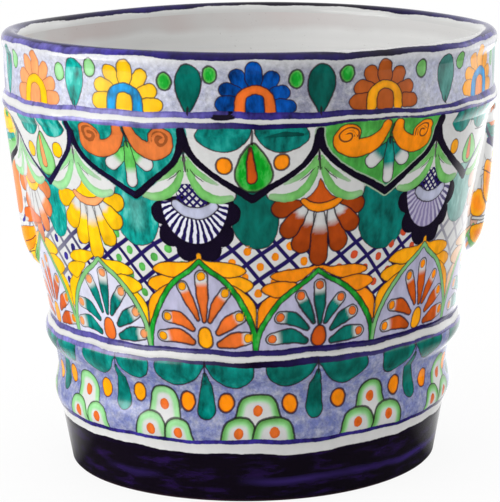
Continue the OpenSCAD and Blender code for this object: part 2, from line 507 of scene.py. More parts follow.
def outline(layer, points, paints, ink=0.9, depth=5.0):
    """A filled shape: distance to the nearest edge, negative where a ray to the right crosses the
    outline an odd number of times. The paints run from the rim to a given depth inside."""
    path = bend(points, True)
    pick, place = near(path, REACH)
    after = np.roll(path, -1, 0)
    gap = np.hypot(*np.moveaxis(shadow(place, path, after)[1], -1, 0)).min(axis=1)
    x, y = place[:, :1], place[:, 1:]
    climbs = (path[:, 1] > y) != (after[:, 1] > y)
    rise = np.where(after[:, 1] == path[:, 1], 1e-9, after[:, 1] - path[:, 1])
    crossing = climbs & (x < path[:, 0] + (after[:, 0] - path[:, 0]) * (y - path[:, 1]) / rise)
    gap = np.where(crossing.sum(axis=1) % 2 == 1, -gap, gap)
    lay(layer, pick, gap, ramp(np.clip(-gap / depth, 0, 1), paints), ink)


def pen(points, width):
    """A thin dark line: the distance is signed by the side of the path, so that it passes evenly
    through zero between two points of the grid, and its plain size is kept beside it as a mask."""
    path = bend(points, False)
    pick, place = near(path, REACH)
    share, off = shadow(place, path[:-1], path[1:])
    gap = np.hypot(*np.moveaxis(off, -1, 0))
    best = gap.argmin(axis=1)
    rows = np.arange(len(pick))
    edge = (path[1:] - path[:-1])[best]
    aside = np.sign(edge[:, 0] * off[rows, best, 1] - edge[:, 1] * off[rows, best, 0])
    gap = gap[rows, best]
    wins = gap < pen_line[pick, 1]
    pen_line[pick[wins]] = np.c_[aside * gap, gap, width * glare_ink_fade[pick]][wins]


def petal(layer, root, tip, widths, paints, ink=0.9):
    """A stroke from a root to the outermost point of its rounded end."""
    root, tip = np.array(root, float), np.array(tip, float)
    step = (tip - root) * (DEGREE, 1.0)
    pull = (tip - root) * widths[-1] / 2 / np.hypot(*step)
    brush(layer, [root, (root + tip - pull) / 2, tip - pull], widths, paints, ink)


def dot(layer, place, wide, tall, paint, ink=0.9):
    """A round or oval dab: a very short upright stroke."""
    reach = max(tall - wide, 0.02) / 2
    x, y = place
    brush(layer, [(x, y - reach), (x, y), (x, y + reach)], [wide], paint, ink)


def oval(layer, place, wide, tall, paints, ink=0.9, depth=3.0):
    """A dab whose colour changes from its rim inwards: an ellipse drawn through eight points."""
    turn = np.radians(np.arange(0, 360, 45))
    rim = place + np.c_[wide / 2 / DEGREE * np.cos(turn), tall / 2 * np.sin(turn)]
    outline(layer, rim, paints, ink, depth)


def stalk(turn, heights, width):
    """An upright pen line at an angle, through some heights."""
    pen([(turn, z) for z in heights], width)


print("a stroke spans", SPAN, "straight pieces between two points")

# %% [markdown]
# The palette is the traditional one of tin-glazed ware: cobalt blues, copper greens and teals, iron
# rust, antimony yellow and orange. The colours are written as they look in plain light, from 0 to 255,
# and turned into the linear values that Blender works with.

# %% Palette
def paint_pot(red, green, blue):
    """Linear colour of a paint from its look: the standard screen curve, undone."""
    v = np.array([red, green, blue]) / 255
    return np.where(v <= 0.04045, v / 12.92, ((v + 0.055) / 1.055) ** 2.4)


WHITE = paint_pot(209, 209, 208)
LAVENDER = paint_pot(184, 187, 210)
HAZE = paint_pot(178, 176, 202)
SLATE = paint_pot(112, 121, 175)
TEAL = paint_pot(0, 128, 118)
TEAL_DEEP = paint_pot(0, 110, 98)
TEAL_PALE = paint_pot(4, 154, 143)
GREEN = paint_pot(22, 162, 44)
GREEN_DEEP = paint_pot(2, 158, 32)
GREEN_PALE = paint_pot(126, 208, 110)
ORANGE = paint_pot(255, 144, 0)
AMBER = paint_pot(255, 168, 0)
YELLOW = paint_pot(255, 194, 2)
RUST = paint_pot(208, 86, 10)
RUST_DEEP = paint_pot(204, 80, 6)
RUST_PALE = paint_pot(234, 112, 40)
SIENNA = paint_pot(182, 88, 28)
SALMON = paint_pot(242, 156, 98)
ROYAL = paint_pot(0, 78, 168)
SKY = paint_pot(0, 142, 206)
LEAF_PALE = paint_pot(150, 212, 148)
LEAF_DULL = paint_pot(106, 174, 92)
RED = paint_pot(216, 78, 40)
PEARL = paint_pot(206, 206, 224)
# A lavender darkened as painted shade, for the collar wash where the light on the wall is weakest.
LAVENDER_IN_SHADE = paint_pot(142, 143, 162)
NIGHT = paint_pot(18, 8, 32)
COBALT = paint_pot(54, 44, 136)
COBALT_DEEP = paint_pot(32, 20, 88)
VIOLET = paint_pot(122, 116, 186)
TERRACOTTA = paint_pot(216, 116, 54)
print("30 paints mixed")

# %% [markdown]
# Twelve repeats go round the pot. In each, two panels meet at a navy post under the shoulder, a flower
# hangs below the post, and an arch with a fan stands below the flower. The cusps between the arches
# carry the point of a panel, a teal drop and a patch of lattice. The painter spaced them by eye, so the
# angles are uneven.

# %% The twelve repeats
posts = [-69.0, -44.3, -14.8, 14.9, 46.6, 74.0, 107.0, 137.5, 167.0, 196.5, 226.0, 256.5]
flowers = [-67.0, -41.3, -13.3, 15.8, 47.0, 77.8, 108.2, 138.0, 168.0, 197.2, 227.0, 258.0]
cusps = [-55.0, -27.6, 1.0, 32.4, 62.0, 92.5, 122.5, 152.5, 182.5, 212.0, 242.0, 273.5]


def onward(turns):
    """For each of a row of angles, the next one round the pot."""
    return turns[1:] + [turns[0] + 360]


def moved(points, turn, wide=1.0, tall=1.0, level=0.0, rise=0.0):
    """Points of a motif, stretched sideways and, about a level, in height, then carried round the pot
    by an angle and up by a height."""
    return [(turn + a * wide, rise + level + (z - level) * tall) for a, z in points]


print("mean step", round((posts[-1] - posts[0]) / 11, 1), "degrees")

# %% [markdown]
# The collar carries a fan flower over every panel, with a teal leaf and two green ovals between them,
# on a thin lavender wash. Seven petals stand round an arched ring with a coloured heart.

# %% Collar flowers
ARCH_RING = [(-3.4, 237.4), (-3.2, 243.2), (-2.3, 247.2), (0.0, 249.3), (2.3, 247.2), (3.2, 243.2),
             (3.4, 237.4)]
RING_WIDTHS = [6.0, 5.8, 5.0, 4.8, 5.0, 5.8, 6.0]
LOBE_TIPS = [(9.0, 240.2), (7.6, 249.8), (4.6, 259.2), (0.0, 264.4), (-4.4, 260.6), (-7.3, 251.4),
             (-8.5, 241.0)]
LOBE_WIDTHS = [8.6, 9.4, 9.2, 9.0, 9.2, 10.0, 10.4]
LOBE_LAYERS = ["high", "mid", "low", "mid", "low", "mid", "high"]
LOBE_TAPER = np.array([0.6, 1.0, 0.9])
LOBE_ROOT, FAN_FOOT = 0.4, 240.0
HEART, HEART_WIDTHS = [(0.0, 239.0), (0.0, 241.6), (0.0, 245.0)], [11.6, 11.4, 9.0]


def fan_flower(turn, petals, ring, heart):
    """Seven lobes round an arched ring and its heart. Each lobe starts at a share of the way from the
    flower's foot to its tip."""
    roots = moved(LOBE_TIPS, turn, LOBE_ROOT, LOBE_ROOT, FAN_FOOT)
    for root, tip, width, layer in zip(roots, moved(LOBE_TIPS, turn), LOBE_WIDTHS, LOBE_LAYERS):
        petal(layer, root, tip, width * LOBE_TAPER, petals, 0.65)
    brush("crown", moved(HEART, turn), HEART_WIDTHS, heart, 0.5)
    brush("edge", moved(ARCH_RING, turn), RING_WIDTHS, ring, 0.7)


fan_paints = [(SALMON, YELLOW, SALMON), (YELLOW, SKY, YELLOW), (ROYAL, RUST_PALE, ROYAL),
              (SIENNA, AMBER, SIENNA), (AMBER, SKY, ORANGE), (ROYAL, RUST_PALE, ROYAL)]
fan_turns = [-56.0, -28.0, 0.8, 29.9, 64.0] + cusps[5:]
for k, turn in enumerate(fan_turns):
    fan_flower(turn, *fan_paints[k % len(fan_paints)])
print(len(fan_turns), "fan flowers")

# %% Collar leaves and ovals
LEAF_DROP = [(0.0, 235.6), (-1.5, 241.0), (-2.7, 249.0), (-2.6, 257.0), (-1.2, 262.8), (0.8, 263.4),
             (2.5, 259.0), (2.9, 251.0), (1.8, 242.5)]
OVAL_WIDE, OVAL_TALL = 7.8, 10.2
leaf_turns = [-72.0, -41.8, -13.6, 15.1, 48.4] + [turn + 0.5 for turn in flowers[5:]]
# The teal leaves are painted pale on the left, where the big soft light falls, and darkest just right of the
# front, where the light is weakest: painted light and shade.
leaf_paints = [TEAL_PALE, TEAL_PALE * 1.25, TEAL_DEEP * 0.8, TEAL_DEEP * 0.66, (9 * TEAL + WHITE) / 10]
for k, turn in enumerate(leaf_turns):
    outline("low", moved(LEAF_DROP, turn), leaf_paints[k % len(leaf_paints)], 0.8)
    stalk(turn, (236.0, 237.0, 239.0), 1.4)

oval_places = [(-66.2, 257.2), (-46.5, 254.8), (-36.8, 258.3), (-18.7, 253.8), (-8.8, 257.6), (9.8, 255.6),
               (20.6, 257.8), (40.2, 256.8), (53.8, 258.6)]
oval_places += [(turn + side, 256.5 + side / 4) for turn in leaf_turns[5:] for side in (-5.0, 5.2)]
# The ovals are painted paler on the lit left and greyer right of the front, in the glare there: painted
# light.
for place in oval_places:
    leafy = LEAF_PALE if -75 < place[0] < -30 else LEAF_DULL if 36 < place[0] < 60 else GREEN
    oval("low", place, OVAL_WIDE, OVAL_TALL, [GREEN_PALE, leafy, leafy], 1.1)
print(len(oval_places), "ovals")

# %% [markdown]
# Under the shoulder hang twelve pointed panels. Their navy borders are the boldest strokes on the pot.
# Every second panel is teal or green and holds two scrolls over a three-lobed leaf. The others stay
# white and hold a pair of half-round leaves, a spear and two dots.

# %% Panels and their borders
BORDER = [(0.0, 226.2), (0.02, 220.0), (0.07, 214.0), (0.19, 207.6), (0.35, 202.6), (0.56, 197.2),
          (0.78, 192.0), (1.0, 186.6)]
BORDER_WIDTHS = np.array([4.6, 4.6, 3.6, 3.4, 4.0, 4.6])
# The borders' weight sets their width and, below one, pales them from night towards cobalt: the thin, pale
# borders at the far left and right are a painted glare of the side lights.
BORDER_TURN = (-68.0, -54.0, -30.0, 40.0, 52.0, 60.0, 68.0, 84.0, 100.0)
BORDER_WEIGHT_AND_GLARE = (0.55, 0.8, 1.0, 1.0, 1.35, 1.2, 0.45, 0.9, 1.0)
BORDER_GAP = 1.6
PANEL_TOP, PANEL_TUCK = 229.6, 2.0
SLANT_LOW, SLANT = 213.0, -0.6
panel_tips = [-55.6, -27.4, 0.5, 32.3, 62.0] + cusps[5:]
scroll_grounds = [TEAL * 1.15, GREEN * 0.55 + LEAF_DULL * 0.45]
gap_paints = [TEAL_PALE, (LEAF_DULL + WHITE) / 2]


def border(post, tip):
    """One half of a panel's border, from its post to its tip. The first post slants at its top."""
    slant = SLANT if turned(post - posts[0]) == 0 else 0.0
    return [(post + (tip - post) * share + slant * max(z - SLANT_LOW, 0.0), z) for share, z in BORDER]


panels = list(zip(posts, onward(posts), panel_tips))
for k, (start, stop, tip) in enumerate(panels):
    kind = k // 2 % 2
    halves = [border(start, tip), border(stop, tip)]
    for half in halves:
        load = float(np.interp(np.mean(half, axis=0)[0], BORDER_TURN, BORDER_WEIGHT_AND_GLARE))
        brush("line", half, load * BORDER_WIDTHS, NIGHT + (COBALT - NIGHT) * max(1 - load, 0), 0.0)
        if k % 2:
            brush("crown", half, load * BORDER_WIDTHS + BORDER_GAP, gap_paints[kind], 0.0)
    if k % 2:
        corners = [(post, PANEL_TOP + PANEL_TUCK) for post in (stop, stop, start, start)]
        outline("wash", halves[0] + halves[1][-2::-1] + corners, scroll_grounds[kind], 0.0)
print(len(panels), "panels")

# %% Scroll panels
SCROLL = [(1.5, 226.8), (1.9, 222.0), (4.0, 216.0), (7.3, 213.6), (10.3, 216.2), (11.0, 220.4)]
SCROLL_WIDTHS = [6.0, 7.0, 9.4, 11.0, 9.6, 7.0]
CURL, CURL_Z, CURL_MM = 9.4, 221.0, 14.6
CURL_TURN = np.radians(np.linspace(195, -290, 12))
CURL_REACH = np.linspace(6.0, 1.3, 12)
CURL_WIDTHS = [0.6, 1.6, 2.2, 2.4]
SCROLL_ROOM = 15.0


def scroll_panel(stem, start, stop, arms, lobes, spread_deg):
    """Two mirrored scrolls fitted between the borders, over a leaf of three lobes. Each arm ends in a
    disc, on which a line winds inwards with a falling radius: a darker stroke on terracotta, or a pen
    line."""
    winding = np.c_[CURL + CURL_REACH * np.cos(CURL_TURN) / DEGREE, CURL_Z + CURL_REACH * np.sin(CURL_TURN)]
    for side, room in ((-1, stem - start), (1, stop - stem)):
        fit = side * room / SCROLL_ROOM
        brush("high", moved(SCROLL, stem, fit), SCROLL_WIDTHS, arms, 0.7)
        dot("high", (stem + CURL * fit, CURL_Z), CURL_MM, CURL_MM, arms, 0.7)
        if arms is TERRACOTTA:
            brush("edge", moved(winding, stem, fit), CURL_WIDTHS, arms * 0.55, 0.0)
        else:
            pen(moved(winding, stem, fit), 0.9)
        petal("low", (stem + side * 0.7, 214.5), (stem + side * spread_deg, 202.6), [4.0, 8.0, 8.4],
              [lobes] * 3 + [WHITE] * 2, 0.7)
    petal("mid", (stem, 218.0), (stem + 0.5, 191.6), [3.0, 7.0, 7.0], [lobes] * 4 + [WHITE] * 2, 0.7)
    stalk(stem, (226.8, 222.0, 216.5), 1.5)


scroll_stems = {1: -28.4, 3: 32.1}
scroll_kinds = [(TERRACOTTA, (GREEN + GREEN_PALE) / 2, 5.8), (ORANGE, TEAL, 5.4)]
for k in range(1, 12, 2):
    start, stop, tip = panels[k]
    arms, lobes, spread_deg = scroll_kinds[k // 2 % 2]
    scroll_panel(scroll_stems.get(k, tip), start, stop, YELLOW if k == 11 else arms, lobes, spread_deg)
print(len(panels) // 2, "scroll panels")

# %% White panels
HALF_LEAF = [(0.5, 229.5), (1.2, 221.0), (3.6, 215.6), (6.8, 214.3), (10.2, 216.5), (12.3, 221.5),
             (11.6, 227.0), (9.5, 230.5), (5.0, 231.0)]
LEAF_DARK_BAND = [(2.6, 223.6), (6.6, 224.6), (10.6, 223.8)]
SPEAR = [(0.0, 219.6), (-2.2, 213.5), (-3.6, 205.5), (-3.7, 198.5), (-2.2, 193.0), (0.3, 191.2), (2.8, 193.0),
         (4.3, 198.5), (3.9, 206.0), (2.0, 214.0)]
VEIN = [(-0.6, 216.5), (-0.5, 207.0), (-0.2, 198.8)]
SPEAR_MIDDLE = 205.4
SPEAR_DOT, SPEAR_DOT_Z = 6.1, 207.4
SIDE_LEAF = 0.8


def spear_panel(stem, leaf, spear, core, dab, droop=1.0, length=1.0, sink=0.0):
    """A pair of half-round leaves with a darker band across the right one, a spear with its core,
    and two dots. The droop shortens and narrows the leaves. The length shortens the spear about its
    middle, and a short spear sinks and has no room for a dot on its right."""
    narrow = 1.0 if droop == 1.0 else SIDE_LEAF
    for side in (-1, 1):
        outline("low", moved(HALF_LEAF, stem, side * narrow, droop, PANEL_TOP), leaf, 0.7)
        if side < 0 or length == 1.0:
            dot("low", (stem + side * SPEAR_DOT - sink / 2, SPEAR_DOT_Z + side), 8.6, 9.6, dab, 1.1)
    if droop == 1.0:
        brush("mid", moved(LEAF_DARK_BAND, stem), [0.6, 3.6, 2.0], [leaf * 0.7, leaf * 0.35, leaf * 0.35], 0.0)
    blade, vein = (moved(path, stem + sink / 2, 1.0, length, SPEAR_MIDDLE, -sink) for path in (SPEAR, VEIN))
    outline("mid", blade, [LEAF_DULL, spear, spear, spear], 1.2)
    brush("high", vein, [1.6, 4.4, 5.6], core, 0.9)
    pen([(stem - 0.2, 226.8), (stem - 0.2, 223.0), (stem - 0.3, 219.0)], 1.3)


# The white panels at the far left and at the right get paler greens and cores than the front one: painted
# light where the side lights fall.
spear_paints = {0: (TEAL_PALE, (GREEN_PALE + LEAF_PALE) / 2, SALMON, YELLOW, 0.88),
                2: (TEAL, GREEN_DEEP, RUST, ORANGE),
                4: (TEAL, GREEN_PALE, RUST_PALE, AMBER, 0.94, 0.66, 2.4)}
for k in range(0, 12, 2):
    spear_panel(panel_tips[k] - 0.2, *spear_paints.get(k, (TEAL_DEEP, GREEN_DEEP, RUST, ORANGE)))
print(len(panels) // 2, "white panels")

# %% [markdown]
# A pair of white leaves with green edges falls like a curtain from each post and half hides the flower
# below. They are painted after the flowers' petals, so they lie in a higher layer.

# %% Curtain leaves
CURTAIN_TOP = np.array([1.8, 5.0, 9.0, 11.2])
CURTAIN_TUCK = 0.8
CURTAIN = [(11.0, 186.8), (8.2, 184.4), (5.2, 186.0), (2.8, 191.0), (1.2, 198.0), (0.4, 206.0), (0.1, 215.0)]
CURTAIN_EDGE = [(0.6, 207.0), (1.3, 199.5), (2.9, 192.6), (5.0, 188.2), (7.6, 186.3), (10.2, 187.6)]
EDGE_WIDTHS = [2.6, 4.0, 5.0, 5.4, 5.0, 3.8]
CURTAIN_FOLD = [(0.6, 210.5), (2.2, 203.6), (4.8, 198.6), (7.6, 195.0)]
FOLD_WIDTHS = [1.6, 3.2, 3.4, 1.6]
CURTAIN_CREASE = [(1.4, 202.6), (2.4, 199.8), (4.0, 197.2)]
HIDDEN_RIGHT = 5
border_share, border_z = np.array(BORDER).T
# The curtain leaves at the two leftmost posts get a paler green: painted light where the big soft light
# falls.
for k, turn in enumerate(posts):
    fresh = LEAF_PALE if k < 2 else (LEAF_DULL + GREEN_PALE) / 2
    for side in (-1,) if k == HIDDEN_RIGHT else (-1, 1):
        tip = panel_tips[k] if side > 0 else panel_tips[k - 1]
        under_border = np.interp(CURTAIN_TOP / abs(turned(tip - turn)), border_share, border_z) - CURTAIN_TUCK
        outline("crown", moved([*zip(CURTAIN_TOP, under_border), *CURTAIN], turn, side), WHITE, 0.8)
        rim_paints = [fresh] * 3 + [(3 * fresh + WHITE) / 4]
        brush("edge", moved(CURTAIN_EDGE, turn, side), EDGE_WIDTHS, rim_paints, 0.0)
        brush("edge", moved(CURTAIN_FOLD, turn, side), FOLD_WIDTHS, [fresh] * 2 + [(fresh + WHITE) / 2], 0.0)
        pen(moved(CURTAIN_CREASE, turn, side), 0.7)
    pen([(turn, 214.0), (turn, 209.0), (turn + 0.1, 203.0)], 1.2)
print("curtains over", len(posts), "flowers")

# %% [markdown]
# The hanging flowers come in two kinds. The daisies have seven petals that fade to white at the root.
# The night flowers are dark scalloped fans with fine white rays. Both have a band and a pointed seed.

# %% Daisies
DAISY_TIPS = [(-11.2, 179.0), (-8.3, 163.0), (-4.6, 153.5), (0.2, 145.5), (5.6, 153.8), (9.0, 165.8),
              (10.7, 180.5)]
DAISY_ROOTS = [(-4.4, 182.0), (-3.8, 180.0), (-2.4, 178.0), (0.0, 177.0), (2.4, 178.0), (4.0, 180.0),
               (4.8, 182.5)]
SEED = [(-0.6, 197.0), (0.6, 191.5), (2.4, 187.0), (4.0, 184.4), (2.4, 182.4), (0.0, 181.6), (-2.4, 182.6),
        (-3.8, 185.2), (-2.2, 188.6), (-1.2, 192.5)]
BAND = [(-4.3, 184.6), (-2.4, 181.4), (0.0, 180.2), (2.5, 181.4), (4.6, 184.6)]


def daisy(turn, petals, band, seed, pale=3):
    """Seven petals that run from white at the root to full colour, a band and a seed. A higher number
    of pale steps, out of eight, keeps the petals white for longer. The outer two have no white."""
    rich = petals * 0.8
    faded = [WHITE] * pale + [(WHITE + petals) / 2] + [petals] * (7 - pale) + [rich]
    for k, (root, tip) in enumerate(zip(moved(DAISY_ROOTS, turn), moved(DAISY_TIPS, turn))):
        petal(("low", "mid")[k % 2], root, tip, [4.6, 9.6, 11.4], [petals, rich] if k in (0, 6) else faded)
    outline("mid", moved(SEED, turn), seed, 0.6)
    brush("high", moved(BAND, turn), [3.0, 4.8, 5.0, 4.8, 3.0], band, 0.8)


# The daisy at the far left keeps more white, the one by the right lug is nearly all white in the glare of the
# right light, and the one right of the front is darkest: painted light and shade.
daisy_paints = {0: ((SALMON + RUST_PALE) / 2, YELLOW, SALMON, 5), 1: (YELLOW, SALMON, YELLOW),
                3: (RUST_DEEP * 0.66, ORANGE, RUST), 5: ((SALMON + WHITE) / 2, WHITE, WHITE),
                7: (YELLOW, SALMON, YELLOW), 9: (RUST_DEEP, ORANGE, RUST), 11: (AMBER, SALMON, YELLOW)}
for k, paints in daisy_paints.items():
    daisy(flowers[k], *paints)
print(len(daisy_paints), "daisies")

# %% Night flowers
NIGHT_TIPS = [(-10.6, 176.6), (-7.8, 159.6), (-2.4, 149.8), (4.0, 149.6), (8.4, 160.6), (11.0, 177.0),
              (9.2, 187.0)]
NIGHT_ROOT = 181.0
RAY_MIDDLE, RAY_WIDE, RAY_TALL = 187.0, 19.8, 27.0
RAYS = 18.0
RAY_TOP = 3.0
RAY_FAR = [0.0, FAR, 0.0]
VEIL, VEIL_LEFT, VEIL_RIGHT = 1.2, 0.6, 1.0
SEED_SINK = -2.0
HATCH_MM, HATCH_TOP = 4.3834, 10.5
HATCH_FAR = [0.0, 0.0, FAR]
rays = blank(RAY_FAR)
hatch = blank(HATCH_FAR)


def night_flower(turn, band, veil):
    """Dark lobes, then a fan of rays on them: the ray number is the angle round the fan's middle, and
    the fan ends at the lower half of an ellipse. A pale veil over the rays thins out to both sides. The
    seed is cross-hatched on two slanting coordinates."""
    for tip in moved(NIGHT_TIPS, turn):
        petal("low", (turn, NIGHT_ROOT), tip, [16.0, 16.0, 14.5], NIGHT, 0.0)
    middle = np.array([[turn * DEGREE, RAY_MIDDLE]])
    pick, place = near(middle, RAY_TALL + REACH)
    x, y = (place - middle).T
    edge = np.hypot(x / RAY_WIDE, y / RAY_TALL)
    reach = np.hypot(x, y) / np.maximum(edge, 1e-6)
    fan_gap = np.maximum((edge - 1) * reach, y + RAY_TOP)
    thin = np.clip(VEIL - np.where(x > 0, VEIL_RIGHT, VEIL_LEFT) * np.abs(x) / RAY_WIDE, 0, 1)
    rays[pick] = np.c_[np.arctan2(x, -y) / np.pi * RAYS, fan_gap, veil * thin]
    seed = moved(SEED, turn, rise=SEED_SINK)
    outline("mid", seed, WHITE, 0.6)
    pick, place = near(bend(seed, True), 1.0)
    x, y = (place - middle).T
    hatch[pick] = np.c_[(x + y) / HATCH_MM, (x - y) / HATCH_MM, y - HATCH_TOP]
    brush("high", moved(BAND, turn, rise=SEED_SINK), [5.6, 6.6, 7.0, 6.6, 5.6], band)


for k in (2, 4, 6, 8, 10):
    night_flower(flowers[k], LAVENDER, 1.0 if k % 4 == 0 else 0.0)
print("rays on", int((rays[:, 1] < 0).sum()), "points")

# %% [markdown]
# Behind the flowers, at every cusp, hangs a broad teal drop, and below it a navy lattice with a dot in
# each mesh fills the gap down to the arches. The lattice is not drawn line by line: every point gets
# two slanting coordinates counted in meshes, and the material draws a line at each whole number.

# %% Teal drops and lattice
DROP = [(-6.0, 193.0), (-6.2, 178.0), (-5.2, 166.0), (-2.6, 158.4), (0.6, 156.2), (4.0, 158.6), (6.0, 166.0),
        (6.4, 178.0), (6.0, 193.0)]
DROP_TOP, DROP_MIDDLE, DROP_WIDE, DROP_TALL = 193.0, 178.0, 6.4, 23.0
DROP_ASIDE, DROP_POOL = -0.4, 13.0
MESH_RIGHT = np.array([9.0, 6.2])
MESH_LEFT = np.array([-7.8, 9.2])
LATTICE_LOW, LATTICE_HIGH = 104.0, 170.0
# The lattice lines fade towards the far left and most towards the far right: a painted glare of the side
# lights.
LATTICE_TURN = (-110.0, -75.0, -58.0, -46.0, 46.0, 58.0, 75.0, 110.0)
LATTICE_GLARE_FADE = (1.0, 0.5, 0.65, 1.0, 1.0, 0.5, 0.2, 1.0)
DAB_LOW, DAB_HIGH, DAB_ASIDE = 120.0, 163.0, 13.0
LUG_ROOM = 12.0
NO_DABS = 4
drop_sizes = {0: (0.75, 1.05), 1: (0.92, 1.0), 2: (0.88, 1.0), 3: (1.12, 1.14), 11: (1.25, 1.0)}
# The teal drops are pale on the lit left, dark at the front and just right of it, and whitened at 62 degrees
# in the right light's glare: painted light and shade.
drop_paints = {0: TEAL_PALE, 1: [TEAL_PALE, TEAL_PALE, (8 * TEAL_PALE + WHITE) / 9], 2: TEAL_DEEP * 0.8,
               3: TEAL * 0.72, 4: (2 * TEAL_PALE + WHITE) / 3, 5: AMBER, 11: (SALMON + RUST_PALE) / 2}
dab_paints = [COBALT, (GREEN + GREEN_PALE) / 2, ORANGE, RED]
mesh_starts = [(-54.0, 143.0), (-27.5, 144.0), (1.8, 145.5), (32.0, 146.5)]
mesh_starts += [(turn, 145.0) for turn in cusps[4:]]
lattice = blank(np.zeros(3))
to_mesh = np.linalg.inv(np.c_[MESH_RIGHT, MESH_LEFT])
steps = [i * MESH_RIGHT + j * MESH_LEFT for i in range(-3, 4) for j in range(-3, 4)]
for k, (turn, first, last, start) in enumerate(zip(cusps, flowers, onward(flowers), mesh_starts)):
    wide, deep = drop_sizes.get(k, (1.0, 1.0))
    seat = turn + DROP_ASIDE
    outline("wash", moved(DROP, seat, wide, deep, DROP_TOP), drop_paints.get(k, TEAL), 0.5, DROP_POOL)
    pick, place = near(np.array([(first * DEGREE, LATTICE_LOW), (last * DEGREE, LATTICE_HIGH)]), 0.0)
    mesh = (place - np.array(start) * (DEGREE, 1)) @ to_mesh.T
    lattice[pick] = np.c_[mesh, np.ones(len(pick))]
    for step in steps:
        x, z = step / (DEGREE, 1) + start
        on_lug = abs(abs(turned(x)) - 90) < LUG_ROOM
        in_drop = math.hypot((x - seat) / DROP_WIDE / wide, (z - DROP_MIDDLE) / DROP_TALL / deep) < 1.0
        in_mesh = abs(x - turn) < DAB_ASIDE and DAB_LOW < z < DAB_HIGH
        if in_mesh and k != NO_DABS and not (on_lug or in_drop):
            dot("wash", (x, z), 4.4, 5.2, dab_paints[k % 4], 0.0)
lattice[np.abs(np.abs(sheet_deg) - 90) < LUG_ROOM, 2] = 0.0
lattice[:, 2] *= np.interp(sheet_deg, LATTICE_TURN, LATTICE_GLARE_FADE)
print("lattice on", int(lattice[:, 2].sum()), "points")

# %% [markdown]
# Twelve pointed arches stand on the waist line. Each has a green band, a lavender inside with a fan of
# seven petals round an egg, and three orange leaves on each side that climb over the band.

# %% Arch bands and their leaves
ARCH = [(0.0, 1.0), (0.15, 0.90), (0.42, 0.757), (0.655, 0.58), (0.82, 0.39), (0.946, 0.175), (1.0, -0.08)]
ARCH_FOOT, ARCH_TUCK = 98.0, 4.0
BAND_WIDTHS = [2.6, 3.0, 3.2, 3.4, 3.4, 3.2]
LEAVES = [("low", [(0.0, 1.03), (0.18, 0.995), (0.46, 0.985), (0.69, 0.945), (0.80, 0.875), (0.66, 0.82),
                   (0.42, 0.80), (0.16, 0.90)]),
          ("mid", [(0.36, 0.80), (0.62, 0.822), (0.86, 0.775), (0.94, 0.70), (0.84, 0.64), (0.66, 0.60),
                   (0.48, 0.70)]),
          ("low", [(0.47, 0.72), (0.64, 0.69), (0.80, 0.625), (0.93, 0.54), (0.985, 0.45), (0.99, 0.34),
                   (0.985, 0.18), (0.92, 0.22), (0.80, 0.40), (0.62, 0.58)])]
UNDER_DAISY = {"low": "low", "mid": "mid"}
UNDER_NIGHT = {"low": "mid", "mid": "low"}
APEX_RISE, APEX_WIDE, APEX_TALL = 2.2, 3.2, 5.4
apex_z = {0: 150.0, 1: 145.5, 2: 149.5, 3: 142.8, 4: 149.5}
leaf_lifts = {(1, -1): 0.09, (3, -1): 0.05, (3, 1): 0.05}
# The arches at the left get a paler lavender inside and paler leaves, the bands are pale at the left and
# right and darkest right of the front, and the arch by the right lug has whitened leaves: painted light and
# shade.
pale_band = (LEAF_PALE + LEAF_DULL) / 2
band_paints = [pale_band, pale_band, GREEN, GREEN * 0.9]
arch_paints = [AMBER, YELLOW, AMBER, ORANGE]
arch_turns = [-68.5, -41.3, -12.8, 16.2, 47.7] + flowers[5:]
for k, (turn, left, right_foot) in enumerate(zip(arch_turns, [cusps[-1] - 360] + cusps, cusps)):
    tall = apex_z.get(k, 147.0) - ARCH_FOOT
    leafy = {0: YELLOW, 5: (AMBER + WHITE) / 2}.get(k, arch_paints[k % 4])
    order = UNDER_DAISY if k in daisy_paints else UNDER_NIGHT
    for side, foot in ((-1, left), (1, right_foot)):
        half = moved(ARCH, turn, foot - turn, tall, rise=ARCH_FOOT)
        outline("wash", half + [(turn, ARCH_FOOT - ARCH_TUCK)], PEARL if k < 2 else HAZE, 0.0)
        brush("high", half, BAND_WIDTHS, band_paints[k % 4], 0.8)
        lifted = ARCH_FOOT + leaf_lifts.get((k, side), 0.0) * tall
        for layer, leaf in LEAVES:
            outline(order[layer], moved(leaf, turn, foot - turn, tall, rise=lifted), leafy, 0.8)
    dot(order["low"], (turn, ARCH_FOOT + tall + APEX_RISE), APEX_WIDE, APEX_TALL, [leafy], 0.6)
print(len(arch_turns), "arches")

# %% Arch fans
FAN = [[(-3.5, 99.0), (-7.4, 103.0), (-11.6, 102.2)], [(-3.2, 107.0), (-6.8, 113.6), (-9.8, 115.0)],
       [(-1.6, 111.0), (-3.4, 121.0), (-4.9, 129.0)], [(0.1, 110.5), (0.0, 123.0), (0.0, 134.5)],
       [(1.6, 110.5), (3.4, 118.5), (5.6, 125.0)], [(3.6, 105.5), (6.5, 111.6), (9.2, 115.2)],
       [(3.8, 98.4), (7.6, 101.4), (11.2, 102.6)]]
FAN_WIDTHS = [[4.0, 9.2, 7.4], [3.2, 8.4, 7.2], [2.4, 6.4, 7.0], [2.6, 7.0, 7.4], [2.8, 7.0, 7.0],
              [3.2, 8.4, 7.4], [4.0, 9.2, 7.4]]
UPRIGHT = (2, 3, 4)
FAN_ASIDE = 0.5
EGG, EGG_WIDTHS = [(0.6, 100.0), (0.6, 102.0), (0.6, 104.4)], [9.6, 9.6, 8.0]
fan_kinds = [(RUST, ORANGE, AMBER, 6), (TEAL, SALMON, RUST_PALE, 5), (RUST_PALE, AMBER, AMBER, 7),
             (TEAL_DEEP, RUST_PALE, RUST, 6)]
fan_heights = {1: 1.06, 2: 1.16, 3: 0.97, 4: 1.06}
